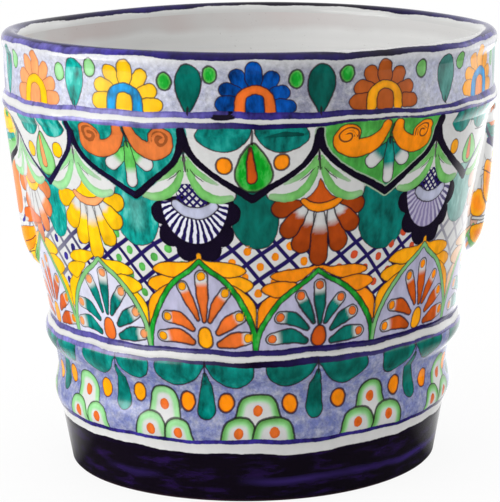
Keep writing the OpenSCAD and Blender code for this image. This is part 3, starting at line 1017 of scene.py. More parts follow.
for k, turn in enumerate(arch_turns):
    petals, tips, egg, filled = fan_kinds[k % 4]
    laid = [petals * 0.8] * 2 + [petals] * (filled - 2) + [WHITE] * 2
    for i, (path, widths) in enumerate(zip(FAN, FAN_WIDTHS)):
        stretch = fan_heights.get(k, 1.0) if i in UPRIGHT else 1.0
        grown = moved(path, turn + FAN_ASIDE, 1.0, stretch, ARCH_FOOT)
        brush(("low", "mid")[i % 2], grown, widths, laid, 1.1)
        dot("high", grown[-1], 5.0, 5.4, [tips], 0.4)
    brush("high", moved(EGG, turn), EGG_WIDTHS, egg, 1.2)
print("fans of", len(FAN), "petals")

# %% [markdown]
# On the lugs there is no room for whole motifs, so the painter ran single strokes over their edges:
# a yellow or teal top, a pale leaf under the border, orange petals, and an amber leaf over the tip.
# The half of each lug that the photo does not show repeats the strokes of the other half.

# %% Strokes on the lugs
LUG_FLANK = 70.0
lug_strokes = {
    -1: [("edge", [(71.0, 217.5), (79.0, 216.0), (90.0, 213.0)], [3.0, 8.0, 9.0], YELLOW, 0.5),
         ("crown", [(76.5, 209.3), (82.0, 206.5), (92.0, 203.0)], [3.0, 4.5, 5.0], TEAL_PALE, 0.0),
         ("high", [(73.0, 204.5), (80.0, 200.5), (90.0, 195.5)], [3.0, 8.0, 10.0], pale_band, 0.0),
         ("crown", [(65.5, 159.5), (72.0, 160.5), (78.0, 158.5)], [4.0, 10.0, 9.0], RUST_PALE, 0.6),
         ("edge", [(78.0, 155.8), (83.0, 154.6), (92.0, 152.0)], [2.0, 4.5, 4.0], WHITE, 0.0),
         ("line", [(79.8, 157.8), (80.8, 155.0), (82.4, 153.0)], [1.6, 2.4, 1.6], COBALT, 0.0),
         ("crown", [(73.5, 150.0), (80.0, 143.5), (88.0, 138.0)], [5.0, 15.0, 16.0],
          [AMBER, ORANGE, AMBER], 0.8),
         ("edge", [(68.5, 149.0), (72.0, 141.5), (76.0, 134.5), (80.0, 129.0)], [2.5, 4.0, 4.5, 3.0],
          LEAF_DULL, 0.5)],
    1: [("edge", [(75.0, 217.0), (84.0, 216.5), (92.0, 215.0)], [6.0, 9.0, 9.0], WHITE, 0.0),
        ("low", [(61.0, 224.5), (68.0, 223.5), (76.0, 221.0)], [7.0, 9.0, 8.0],
         [TEAL, TEAL_PALE, TEAL_PALE, WHITE], 0.4),
        ("edge", [(78.5, 207.5), (84.0, 206.0), (92.0, 203.5)], [5.0, 6.5, 7.0], TEAL_DEEP, 0.4),
        ("edge", [(79.0, 200.8), (84.0, 198.0), (92.0, 195.0)], [4.0, 6.5, 7.5], COBALT_DEEP, 0.0),
        # A bright white upright stroke on the right lug's near flank: a painted highlight, where the right
        # light's glare falls.
        ("edge", [(76.6, 203.0), (76.8, 186.0), (76.2, 172.0)], [7.0, 8.0, 6.0], WHITE * 1.25, 0.0),
        ("edge", [(76.5, 152.0), (81.0, 150.3), (92.0, 146.8)], [2.2], WHITE, 1.4),
        ("edge", [(76.0, 141.5), (79.5, 135.5), (84.0, 131.0), (92.0, 128.5)], [1.5, 2.6, 3.0, 3.0],
         LEAF_DULL, 0.3)]}
lug_petals = [
    [(80.0, 186.0), (86.0, 184.0), (95.0, 180.0), (95.0, 160.0), (88.0, 157.5), (84.0, 160.0), (81.0, 167.0)],
    [(74.0, 165.0), (76.5, 169.5), (79.5, 169.0), (81.5, 163.0), (85.0, 155.0), (80.0, 151.8), (75.5, 155.0)],
    [(76.5, 145.5), (80.0, 147.0), (86.0, 145.5), (95.0, 142.0), (95.0, 130.5), (84.0, 132.0), (79.0, 137.0)]]
lug_pens = {-1: [[(74.5, 146.3), (79.0, 142.3), (84.0, 138.8)],
                 [(78.5, 135.3), (82.0, 133.0), (86.5, 131.0)]],
            1: [[(79.0, 181.5), (84.0, 177.5), (90.0, 174.5)], [(65.0, 214.6), (71.0, 214.2), (78.0, 213.0)]]}
for rim in lug_petals:
    outline("crown", rim, [AMBER, AMBER, ORANGE], 1.2)
    outline("crown", moved(rim, 180.0, -1), [AMBER, AMBER, ORANGE], 1.2)
for side, strokes in lug_strokes.items():
    for layer, path, widths, paints, ink in strokes:
        brush(layer, moved(path, 0.0, side), widths, paints, ink)
        if path[0][0] > LUG_FLANK:
            brush(layer, moved(path, side * 180.0, -side), widths, paints, ink)
    for path in lug_pens[side]:
        pen(moved(path, 0.0, side), 1.6)
print(len(lug_strokes[-1]), "strokes on the left lug and", len(lug_strokes[1]), "on the right one")

# %% [markdown]
# The belly is washed in slate blue. Pairs of teal leaves hang from the waist line over a long teal
# drop, with an orange dot on each side, and a pile of three cut green fruits stands below each cusp:
# a green rind, white flesh and a rust stone.

# %% Belly leaves, drops and dots
LENS = [(0.02, 87.4), (0.05, 83.0), (0.20, 76.8), (0.46, 72.0), (0.70, 72.0), (0.92, 76.8), (1.0, 83.0),
        (0.93, 88.4), (0.50, 89.0)]
LENS_HANG, LENS_ASIDE = 88.0, 0.3
DOT_WIDE, DOT_TALL = 10.2, 11.8
lens_rooms = {0: (11.0, 10.5), 1: (12.6, 10.4), 2: (13.2, 12.6), 3: (13.1, 13.5), 4: (12.0, 12.4)}
lens_falls = {0: (0.86, 0.86), 1: (0.92, 0.85), 4: (1.0, 0.82)}
drop_swings = {0: -1.5, 4: 1.6}
dot_places = {0: [(-73.0, 63.0), (-61.8, 65.0)], 1: [(-45.2, 64.0), (-33.0, 64.8)],
              2: [(-18.0, 62.2), (-7.4, 62.5)], 3: [(9.8, 60.6), (23.7, 62.2)],
              4: [(42.3, 62.4), (56.0, 61.2)]}
belly_turns = [-66.0, -38.7, -12.7, 16.7, 47.6] + flowers[5:]
# The belly's leaves and dots at the left are painted lighter than those from the front round to the right:
# painted light where the big soft light falls.
for k, turn in enumerate(belly_turns):
    leaf = TEAL if k < 3 else TEAL_DEEP
    for side, room, fall in zip((-1, 1), lens_rooms.get(k, (12.4, 12.4)), lens_falls.get(k, (1.0, 1.0))):
        lens = moved(LENS, turn + side * LENS_ASIDE, side * room, fall, LENS_HANG)
        outline("low", lens, [leaf, leaf, leaf * 0.8], 0.8)
    yolk = [ORANGE, AMBER, AMBER] if k < 2 else [RUST_PALE, ORANGE, ORANGE]
    for place in dot_places.get(k, [(turn - 6.2, 62.6), (turn + 6.4, 62.6)]):
        oval("low", place, DOT_WIDE, DOT_TALL, yolk, 1.3)
    hanging = [(turn, 81.0), (turn, 70.0), (turn + drop_swings.get(k, 0.0), 58.2)]
    brush("mid", hanging, [2.0, 8.8, 12.4], [leaf, leaf, leaf * 0.8, leaf], 0.8)
    stalk(turn, (87.4, 84.0, 80.0), 1.2)
print(len(belly_turns), "pairs of belly leaves")

# %% Cut fruits
CUT = [(-0.97, 0.0), (-1.0, 0.58), (-0.7, 0.9), (0.0, 1.0), (0.7, 0.9), (1.0, 0.58), (0.97, 0.0)]
SEATS = [("low", 44.0), ("mid", 30.0), ("high", 30.0)]
PILE = [(0.0, 4.7, 70.2, 58.6), (-4.8, 4.4, 53.4, 43.8), (4.5, 4.4, 53.2, 44.2)]
RIND_DEPTH = 7.5
STONE_WIDE, STONE_TALL = 6.6, 7.0
piles = {1: [(-0.2, 4.4, 70.6, 58.8), (-4.5, 4.6, 53.8, 43.2), (3.9, 4.1, 51.8, 43.0)],
         2: [(0.6, 5.6, 67.4, 57.0), (-4.4, 4.6, 53.2, 43.4), (4.9, 5.3, 53.0, 44.0)],
         3: [(-0.5, 4.4, 69.6, 58.8), (-4.7, 5.1, 54.2, 45.0), (5.6, 5.1, 54.4, 46.0)]}
fruit_turns = [-53.4, -24.8, 0.4, 34.3, 66.5] + cusps[5:]
# The fruits at the left get paler rinds, and those right of the front darker stones: painted light and shade.
rinds = [[LEAF_DULL, LEAF_PALE, LEAF_PALE, WHITE, WHITE],
         [LEAF_DULL * 0.9, LEAF_DULL, LEAF_PALE, WHITE, WHITE]]
for k, turn in enumerate(fruit_turns):
    for (layer, base), (aside, half, crown, stone) in zip(SEATS, piles.get(k, PILE)):
        cut = moved(CUT, turn + aside, half, crown - base, rise=base)
        outline(layer, cut, rinds[k > 1], 1.4, RIND_DEPTH)
        stone_paints = [RUST_PALE, RUST if k > 2 else RUST_PALE]
        oval("crown", (turn + aside, stone), STONE_WIDE, STONE_TALL, stone_paints, 0.0)
print(len(fruit_turns), "piles of fruit")

# %% [markdown]
# Cobalt lines close each band of ornament. They are brushed while the pot turns on a wheel, so they run
# all the way round and only waver a little in height and width. The ground colours change under them.

# %% Lines round the pot
FRONT_DIP = (14.0, 11.0)
WAIST_DIP = (9.0, 20.0)
INDIGO = (VIOLET + COBALT) / 2


def bells(turn, places):
    """Sum of bell curves of the angle, each given by its middle and spread in degrees and its height."""
    total = np.zeros(len(turn))
    for middle, spread_deg, height in places:
        total += height * bell(turned(np.degrees(turn) - middle), spread_deg)
    return total


def wheel_line(z, width, paints, waver, frays, rises=(), thins=(), layer="line"):
    """A line brushed on the turning pot: distance from a height that wavers with sines of the angle and
    rises by some bell curves, less half a width that wavers and thins in the same way. The paints are
    spaced evenly round the pot, from the back over the left, the front and the right to the back."""
    turn = sheet_x / SHEET * 2 * np.pi
    middle = z + bells(turn, rises) + waver * (np.sin(3 * turn + z) + 0.5 * np.sin(7 * turn + 2 * z))
    half = width / 2 - bells(turn, thins) + frays * np.sin(5 * turn + 3 * z)
    gap = np.abs(sheet_y - middle) - half
    pick = np.flatnonzero(gap < REACH)
    share = (turn[pick] / (2 * np.pi) + 0.5) % 1.0
    lay(layer, pick, gap[pick], ramp(share, paints), 0.0)


# The shoulder and waist lines run paler and more violet on the left, where the big soft light falls, and
# deepest at the front and just right of it: painted light and shade.
wheel_line(235.0, 3.4, [COBALT] * 3 + [VIOLET] * 3 + [COBALT, COBALT_DEEP] + [COBALT] * 5, 0.25, 0.2,
           [(-66.0, 22.0, 0.5), (48.0, 22.0, -1.1)], [(-66.0, 22.0, 0.8), (45.0, 25.0, 0.35)])
wheel_line(229.2, 3.0, [COBALT] * 3 + [VIOLET] * 3 + [COBALT_DEEP] * 2 + [COBALT] * 5, 0.25, 0.3,
           [(33.0, 16.0, 1.6), (66.0, 12.0, 0.6), (-58.0, 16.0, -0.6)],
           [(36.0, 16.0, 0.7), (64.0, 14.0, 0.8)])
wheel_line(94.2, 3.2, [COBALT_DEEP, COBALT, INDIGO, COBALT_DEEP, COBALT_DEEP, COBALT, COBALT_DEEP], 0.3, 0.2,
           [(*WAIST_DIP, -0.9)])
wheel_line(88.0, 2.4, [COBALT, VIOLET, VIOLET, NIGHT, COBALT, VIOLET, COBALT], 0.25, 0.3,
           [(8.0, 14.0, -1.3)], [(8.0, 14.0, -0.6)])
wheel_line(38.0, 2.8, [COBALT_DEEP, COBALT, COBALT, COBALT_DEEP, COBALT_DEEP], 0.3, 0.2, [(*FRONT_DIP, -0.8)])
wheel_line(16.6, 27.4, [NIGHT], 0.4, 0.2, [(*FRONT_DIP, -1.0)])
# The lip is painted paler indigo on the left and again at the far right, a painted highlight, and darkest
# from the front to the right of it.
lip_left = [INDIGO] * 3 + [COBALT]
lip_right = [NIGHT, COBALT_DEEP] + [INDIGO] * 2
lip_back = [COBALT_DEEP] * 6
lip_round = [NIGHT, *lip_back, *lip_left, *[COBALT_DEEP] * 3, *lip_right, *lip_back, NIGHT]
wheel_line(267.4, 4.4, lip_round, 0.2, 0.4,
           [(-24.0, 11.0, 1.6), (34.0, 18.0, 0.9)], [(60.0, 25.0, 0.6)])
wheel_line(273.0, 8.8, [NIGHT, COBALT_DEEP, NIGHT, INDIGO * 0.5] + [COBALT_DEEP] * 3
           + [NIGHT, COBALT_DEEP, INDIGO * 0.6, COBALT_DEEP, NIGHT, NIGHT], 0.3, 0.6,
           [(45.0, 34.0, -5.0)], [(45.0, 34.0, 6.0)])
wheel_line(232.4, 5.0, [WHITE], 0.25, 0.2, layer="edge")
wheel_line(91.1, 4.8, [WHITE], 0.3, 0.2, [(*WAIST_DIP, -1.1)], layer="edge")
# The white line on the belly's downward-facing underside is painted brighter than the white ground: painted
# light, standing for the light that the floor throws up onto it.
wheel_line(32.6, 10.0, [WHITE * 1.12], 0.3, 0.2, [(*FRONT_DIP, -0.8)], layer="edge")
brush("line", [(-7.8, 234.5), (-6.0, 234.3), (-4.4, 234.7)], [4.6, 5.2, 4.6], NIGHT, 0.0)
print("eleven lines round the pot")

# %% Ground colours
SHADE_TURN, SHADE_SPREAD = 15.0, 24.0
COLLAR_LOW, COLLAR_HIGH, COLLAR_FADE = 235.0, 267.0, 8.0
BELLY_LOW, BELLY_HIGH = 38.0, 88.2
INNER_Z = 276.0
WALL_PATCHY, COLLAR_PATCHY, BELLY_PATCHY = 0.12, 0.7, 0.6
# The collar's lavender wash darkens to a grey lavender round 15 degrees right of the front: painted shade,
# where the light on the wall is weakest.
shade = bell(sheet_deg - SHADE_TURN, SHADE_SPREAD)[:, None]
lavender = np.c_[LAVENDER + (LAVENDER_IN_SHADE - LAVENDER) * shade, np.full(len(sheet_x), COLLAR_PATCHY)]
collar_wash = np.clip((COLLAR_HIGH - sheet_y) / COLLAR_FADE, 0, 1) * (sheet_y > COLLAR_LOW)
ground = blank(np.r_[WHITE, WALL_PATCHY])
ground += (lavender - ground) * collar_wash[:, None]
ground[(sheet_y > BELLY_LOW) & (sheet_y < BELLY_HIGH)] = np.r_[SLATE, BELLY_PATCHY]
ground[sheet_y > INNER_Z] = np.r_[WHITE * 1.12, 0.0]
print("lavender wash on", int((collar_wash > 0).sum()), "points")

# %% [markdown]
# One family of materials paints every piece. A small node group lays one layer: it adds a ragged edge
# to the distance, fills with the colour where the distance is negative, and draws the dark outline
# where it is near zero. The groups are chained from the ground up to the pen lines, and a clear glaze
# closes the surface. Noise on object coordinates gives the uneven washes, so nothing needs an image.

# %% Node helpers
class Wires:
    """A node tree with short ways to add to it. Nearly all of them return a socket, so calls nest."""

    def __init__(self, tree):
        """Keeps the tree that nodes are added to."""
        self.tree = tree

    def put(self, kind, inputs=(), **settings):
        """Adds a node, sets its options, and links or sets its inputs, by order or by name."""
        node = self.tree.nodes.new(kind)
        for option, value in settings.items():
            setattr(node, option, value)
        for key, value in inputs.items() if isinstance(inputs, dict) else enumerate(inputs):
            if isinstance(value, bpy.types.NodeSocket):
                self.tree.links.new(value, node.inputs[key])
            else:
                node.inputs[key].default_value = value
        return node

    def sums(self, operation, *values, clamp=False):
        """Result of a Math node."""
        return self.put("ShaderNodeMath", values, operation=operation, use_clamp=clamp).outputs[0]

    def plus(self, a, b):
        """Sum of two values."""
        return self.sums("ADD", a, b)

    def less(self, a, b):
        """The first value less the second."""
        return self.sums("SUBTRACT", a, b)

    def times(self, a, b, extra=None):
        """Product of two values, plus a third if there is one."""
        return self.sums("MULTIPLY", a, b) if extra is None else self.sums("MULTIPLY_ADD", a, b, extra)

    def larger(self, a, b):
        """The larger of two values."""
        return self.sums("MAXIMUM", a, b)

    def size(self, a):
        """A value without its sign."""
        return self.sums("ABSOLUTE", a)

    def span(self, value, start, stop, first=0.0, last=1.0):
        """The first result at the start value, the last one at the stop value, straight between them."""
        return self.put("ShaderNodeMapRange", (value, start, stop, first, last), clamp=True).outputs[0]

    def mix(self, share, under, over):
        """Mixes two colours by a share."""
        return self.put("ShaderNodeMix", {0: share, 6: under, 7: over}, data_type="RGBA").outputs[2]

    def scaled(self, colour_in, factor):
        """A colour or vector times a value."""
        return self.put("ShaderNodeVectorMath", {0: colour_in, 3: factor}, operation="SCALE").outputs[0]

    def split(self, vector):
        """The three parts of a vector."""
        return self.put("ShaderNodeSeparateXYZ", (vector,)).outputs

    def field(self, name):
        """Outputs of a stored attribute."""
        return self.put("ShaderNodeAttribute", attribute_name=name).outputs

    def stretched(self, place, *scale):
        """A place with each of its axes scaled."""
        return self.put("ShaderNodeMapping", {"Vector": place, "Scale": scale}).outputs[0]

    def noise(self, place, scale, detail, rough=0.5):
        """Noise value between 0 and 1, with the scale in waves per metre."""
        return self.put("ShaderNodeTexNoise", {"Vector": place, "Scale": scale, "Detail": detail,
                                               "Roughness": rough}).outputs[0]

    def stripe(self, count, half):
        """1 on lines at the whole numbers of a coordinate, with a half width in parts of a step."""
        off = self.size(self.less(self.sums("FRACT", self.plus(count, 0.5)), 0.5))
        return self.span(off, half * 1.2, half * 0.8)


def rgba(paint):
    """A palette colour as a socket value."""
    return (*map(float, paint), 1.0)


def tint(red, green, blue):
    """A socket value from the look of a colour."""
    return rgba(paint_pot(red, green, blue))


def new_material(name):
    """An empty node material, the wires of its tree, and its object coordinates."""
    material = bpy.data.materials.new(name)
    material.use_nodes = True
    material.node_tree.nodes.clear()
    wires = Wires(material.node_tree)
    return material, wires, wires.put("ShaderNodeTexCoord").outputs["Object"]


INK = tint(34, 20, 30)
INK_COVER = 0.85
EDGE_SOFT = 0.2
print("outline colour", INK)

# %% One layer of paint as a node group
POOL_IN, POOL_OUT, POOL_DARK = -1.8, -0.2, -0.2
WATERY_GREEN, WATERY_GAIN = 0.4, 5.0
WASH_LEAST, WASH_WARM, WASH_WATERY = 0.07, 0.26, 0.95
INK_NONE, INK_FULL = 0.02, 0.4
layer_group = bpy.data.node_groups.new("paint_layer", "ShaderNodeTree")
for socket_name in ("Under", "Distance", "Paint", "Ink", "Ragged", "Wash"):
    socket_kind = "NodeSocketColor" if socket_name in ("Under", "Paint") else "NodeSocketFloat"
    layer_group.interface.new_socket(socket_name, in_out="INPUT", socket_type=socket_kind)
layer_group.interface.new_socket("Colour", in_out="OUTPUT", socket_type="NodeSocketColor")
w = Wires(layer_group)
under, gap, paint, ink, ragged, wash = w.put("NodeGroupInput").outputs[:6]
rough_gap = w.plus(gap, ragged)
uneven = w.less(wash, 1.0)
red, green, blue = w.put("ShaderNodeSeparateColor", (paint,)).outputs
vivid = w.put("ShaderNodeSeparateColor", (paint,), mode="HSV").outputs[1]
watery = w.less(w.larger(blue, w.times(green, WATERY_GREEN)), red)
thinness = w.sums("MULTIPLY", watery, WATERY_GAIN, clamp=True)
strength = w.times(vivid, w.times(thinness, WASH_WATERY, WASH_WARM), WASH_LEAST)
pooled = w.times(w.span(rough_gap, POOL_IN, POOL_OUT), POOL_DARK, 1.0)
worn = w.scaled(paint, w.times(w.times(uneven, strength, 1.0), pooled))
copper = w.sums("MULTIPLY_ADD", w.less(blue, green), -6.0, 1.0, clamp=True)
copper = w.times(copper, w.span(green, 0.2, 0.33))
bare = w.times(w.span(uneven, 0.1, 2.4), w.times(thinness, copper))
worn = w.mix(bare, worn, rgba(WHITE))
filled = w.mix(w.span(rough_gap, EDGE_SOFT, -EDGE_SOFT), under, worn)
beyond = w.less(w.size(rough_gap), w.times(ink, 0.5))
drawn = w.times(w.span(beyond, EDGE_SOFT, -EDGE_SOFT), w.span(ink, INK_NONE, INK_FULL))
w.put("NodeGroupOutput", (w.mix(w.times(drawn, INK_COVER), filled, INK),))
print("paint_layer has", len(layer_group.nodes), "nodes")

# %% The painted glaze
LATTICE_LINE, RAY_LINE, HATCH_LINE = 0.105, 0.24, 0.22
IN_REACH = 2.0
GLAZE_ROUGH, GLAZE_RIPPLE, GLOSS = 0.16, 0.12, 0.45
RIPPLE_MM, RIPPLE_SCALE = 0.6, 60.0
LINE_COLOUR = rgba(COBALT_DEEP)


def glaze_over(w, paint, place, rough, ripple, gloss=GLOSS):
    """Clear glossy glaze over a paint: its surface ripples softly, as fired glaze does."""
    height = w.noise(place, RIPPLE_SCALE, 3.0)
    bump = w.put("ShaderNodeBump", {"Strength": ripple, "Distance": RIPPLE_MM * MM, "Height": height})
    shader = w.put("ShaderNodeBsdfPrincipled", {"Base Color": paint, "Normal": bump.outputs[0]})
    shader.inputs["Roughness"].default_value = rough
    shader.inputs["Specular IOR Level"].default_value = gloss
    w.put("ShaderNodeOutputMaterial", {"Surface": shader.outputs[0]})


def ground_coat(w, place):
    """The ground colour, worn thin to white and speckled where the ground is patchy."""
    base = w.field("ground")
    thin = w.times(w.span(w.noise(place, 150.0, 6.0, 0.72), 0.42, 0.7), base["Alpha"])
    look = w.mix(thin, base["Color"], rgba(WHITE))
    speckle = w.times(w.noise(place, 380.0, 4.0, 0.7), 2.2, -0.1)
    return w.mix(base["Alpha"], look, w.scaled(look, speckle))


def fan_rays(w, look, place):
    """White rays on the dark fans, with a pale veil over some of them."""
    ray, edge, veil = w.split(w.field("rays")["Vector"])
    shaky = w.times(w.noise(place, 260.0, 1.0), 0.5, ray)
    in_fan = w.span(edge, 0.3, -0.3)
    look = w.mix(in_fan, look, w.mix(veil, rgba(COBALT_DEEP * 0.8), tint(136, 126, 166)))
    streak = w.mix(veil, tint(224, 224, 234), tint(176, 168, 196))
    return w.mix(w.times(w.stripe(shaky, RAY_LINE), in_fan), look, streak)


def pen_strokes(w, look, ragged):
    """Thin dark lines where the signed distance is near zero."""
    aside, off, width = w.split(w.field("pen")["Vector"])
    beyond = w.less(w.size(w.plus(aside, w.times(ragged, 0.5))), w.times(width, 0.5))
    drawn = w.times(w.span(beyond, EDGE_SOFT, -EDGE_SOFT), w.span(off, 1.7, 1.2))
    return w.mix(w.times(drawn, INK_COVER), look, INK)


def painted_glaze(name, part, gloss):
    """Material of a painted piece: ground, lattice, the layers that reach this piece, rays, hatching
    and pen lines, under a clear glaze."""
    material, w, place = new_material(name)
    coarse = w.times(w.noise(place, 240.0, 1.0), 0.9, -0.45)
    ragged = w.plus(coarse, w.times(w.noise(place, 900.0, 1.0), 0.4, -0.2))
    cloud = w.noise(w.stretched(place, 1.0, 1.0, 0.45), 150.0, 3.0, 0.6)
    wash = w.span(cloud, 0.31, 0.68, 0.42, 1.5)
    look = ground_coat(w, place)
    if lattice[part, 2].any():
        a, b, load = w.split(w.field("lattice")["Vector"])
        lines = w.larger(*(w.stripe(w.plus(count, 0.5), LATTICE_LINE) for count in (a, b)))
        look = w.mix(w.times(lines, load), look, LINE_COLOUR)
    used = [layer for layer in LAYERS if (distance[layer][part] < IN_REACH).any()]
    for layer in used:
        gap, paint = w.field("d_" + layer)["Fac"], w.field("c_" + layer)
        inputs = (look, gap, paint["Color"], paint["Alpha"], ragged, wash)
        look = w.put("ShaderNodeGroup", inputs, node_tree=layer_group).outputs[0]
        if layer == "low" and (rays[part, 1] < 0).any():
            look = fan_rays(w, look, place)
        if layer == "mid" and (hatch[part, 2] < 0).any():
            a, b, edge = w.split(w.field("hatch")["Vector"])
            crossed = w.larger(*(w.stripe(count, HATCH_LINE) for count in (a, b)))
            look = w.mix(w.times(crossed, w.span(edge, 0.2, -0.2)), look, LINE_COLOUR)
    if (pen_line[part, 1] < IN_REACH).any():
        look = pen_strokes(w, look, ragged)
    glaze_over(w, look, place, GLAZE_ROUGH, GLAZE_RIPPLE, gloss)
    return material, used


print("painted glaze ready")

# %% [markdown]
# The other finishes are plain ones. The inside is white glaze with faint throwing rings, darkened
# towards its left side as painted shade. The seams and the standing edge are bare terracotta, and the
# foot is dipped in a thick dark cobalt glaze that runs in streaks, with a broken violet band painted
# round it as a reflection. Each gets its own noise at the scale that the real surface shows.

# %% Inside glaze
BLUSH_LOW, BLUSH_HIGH = 0.255, 0.260
inside_glaze, w, place = new_material("inside_white_glaze")
across, _, height = w.split(place)
rings = w.noise(w.stretched(place, 0.05, 0.05, 1.0), 120.0, 3.0)
tone = w.mix(w.span(rings, 0.35, 0.7), tint(246, 246, 245), tint(238, 238, 237))
climb = w.times(w.noise(place, 26.0, 3.0), 0.010, height)
thin_coat = w.span(climb, BLUSH_LOW, BLUSH_HIGH)
tone = w.mix(thin_coat, tone, tint(230, 229, 228))
patchy = w.times(w.span(w.noise(place, 14.0, 2.0), 0.35, 0.6), w.span(across, 0.09, -0.01))
tone = w.mix(w.times(thin_coat, patchy), tone, tint(226, 213, 211))
# The inside is darkened towards its left side, which the lamps do not reach: painted shade.
tone = w.scaled(tone, w.span(across, -0.09, 0.06, 0.8, 0.97))
speck = w.times(w.span(w.noise(place, 700.0, 1.0), 0.74, 0.78), 0.25)
glaze_over(w, w.mix(speck, tone, tint(120, 108, 100)), place, 0.22, 0.2)
print("inside glaze mixed")

# %% Bare clay
bare_clay, w, place = new_material("bare_terracotta")
grain = w.noise(place, 420.0, 6.0, 0.7)
tone = w.mix(w.span(grain, 0.3, 0.7), tint(168, 92, 62), tint(204, 132, 96))
bump = w.put("ShaderNodeBump", {"Strength": 0.35, "Distance": 0.0004, "Height": grain})
clay = w.put("ShaderNodeBsdfPrincipled", {"Base Color": tone, "Normal": bump.outputs[0]})
clay.inputs["Roughness"].default_value = 0.82
w.put("ShaderNodeOutputMaterial", {"Surface": clay.outputs[0]})
print("bare clay mixed")

# %% Cobalt foot
REFLECTION_Z, REFLECTION_HALF, REFLECTION_CORE = 0.0195, 0.0034, 0.0004
foot_glaze, w, place = new_material("foot_cobalt_glaze")
height = w.split(place)[2]
streaks = w.noise(w.stretched(place, 1.0, 1.0, 4.0), 45.0, 4.0, 0.6)
tone = w.mix(w.span(streaks, 0.5, 0.75), tint(14, 6, 20), tint(40, 18, 76))
# A broken violet band at about 13 mm height runs round the dark foot: a painted reflection of a bright
# horizontal band.
wavy = w.times(w.noise(place, 18.0, 2.0), 0.012, height)
painted_reflection_band = w.span(w.size(w.less(wavy, REFLECTION_Z)), REFLECTION_HALF, REFLECTION_CORE)
painted_reflection_band = w.times(painted_reflection_band, w.span(w.noise(place, 9.0, 1.0), 0.44, 0.6))
tone = w.mix(w.times(painted_reflection_band, 0.8), tone, tint(60, 40, 118))
glaze_over(w, w.mix(w.span(height, 0.0016, 0.0), tone, tint(70, 44, 54)), place, 0.14, 0.3)
print("foot glaze mixed")

# %% [markdown]
# Now the grids become meshes. The arrays go into Blender with foreach_set, which takes whole arrays at
# once. The layers' fields are written as attributes of the points, and every face gets the finish of
# its stretch of the section.

# %% Mesh makers
NO_CAPS = np.zeros((0, 3), int)
SHARP = math.radians(50)
VALUE = {"FLOAT": "value", "FLOAT_COLOR": "color", "FLOAT_VECTOR": "vector"}


def skin(name, co, faces, caps=NO_CAPS):
    """A mesh object from an array of places, an array of four-cornered faces and one of triangles."""
    mesh = bpy.data.meshes.new(name)
    mesh.vertices.add(len(co))
    mesh.vertices.foreach_set("co", co.ravel())
    mesh.loops.add(faces.size + caps.size)
    mesh.loops.foreach_set("vertex_index", np.r_[faces.ravel(), caps.ravel()])
    mesh.polygons.add(len(faces) + len(caps))
    starts = np.r_[np.arange(0, faces.size, 4), faces.size + np.arange(0, caps.size, 3)]
    mesh.polygons.foreach_set("loop_start", starts)
    mesh.update(calc_edges=True)
    mesh.validate()
    piece = bpy.data.objects.new(name, mesh)
    scene.collection.objects.link(piece)
    return piece


def woven_faces(rows, columns, closed_rows):
    """Four-cornered faces between neighbouring rows and columns of a grid that closes sideways."""
    row = np.arange(rows if closed_rows else rows - 1)[:, None]
    column = np.arange(columns)[None, :]
    beside, above = (column + 1) % columns, (row + 1) % rows * columns
    here = row * columns
    corners = [here + column, here + beside, above + beside, above + column]
    return np.stack([np.broadcast_to(c, (len(row), columns)) for c in corners], axis=-1).reshape(-1, 4)


def store(piece, name, kind, values, spare):
    """Writes a field to the points of a piece: its painted points first, a spare value for the rest."""
    full = np.tile(np.ravel(spare).astype(float), (len(piece.data.vertices), 1))
    full[:len(values)] = np.reshape(values, (len(values), np.size(spare)))
    field = piece.data.attributes.new(name, kind, "POINT")
    field.data.foreach_set(VALUE[kind], full.ravel())


def store_painting(piece, part, used):
    """Writes the fields that a piece's painted glaze reads."""
    store(piece, "ground", "FLOAT_COLOR", ground[part], np.r_[WHITE, 0.0])
    store(piece, "lattice", "FLOAT_VECTOR", lattice[part], np.zeros(3))
    store(piece, "rays", "FLOAT_VECTOR", rays[part], RAY_FAR)
    store(piece, "hatch", "FLOAT_VECTOR", hatch[part], HATCH_FAR)
    store(piece, "pen", "FLOAT_VECTOR", pen_line[part], PEN_FAR)
    for layer in used:
        store(piece, "d_" + layer, "FLOAT", distance[layer][part], FAR)
        store(piece, "c_" + layer, "FLOAT_COLOR", colour[layer][part], np.zeros(4))


def place_piece(piece, node):
    """Smooths a piece, sharpens its seams, and ties it to the frame."""
    piece.data.shade_smooth()
    piece.data.set_sharp_from_angle(angle=SHARP)
    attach(piece, "root")
    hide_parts(node)
    print(piece.name, len(piece.data.polygons), "faces")


print("mesh makers ready")

# %% Rings, coils, lip and foot
RING_GLOSS = {"belly_ring": 0.3}
for name, (section, finish, painted) in sections.items():
    columns = COLUMNS[name]
    turn = 2 * np.pi * (np.arange(columns) / columns - 0.5)
    co = settle(section[:, :1], turn[None, :], section[:, 1:]).reshape(-1, 3)
    piece = skin(name + "_skin", co, woven_faces(len(section), columns, True))
    outer = foot_glaze
    if name != "foot_ring":
        part = sheet_part[name]
        outer, used = painted_glaze(name + "_painted_glaze", part, RING_GLOSS.get(name, GLOSS))
        store_painting(piece, part, used)
    for material in (outer, inside_glaze, bare_clay):
        piece.data.materials.append(material)
    piece.data.polygons.foreach_set("material_index", np.repeat(finish, columns).astype(np.int32))
    place_piece(piece, name)

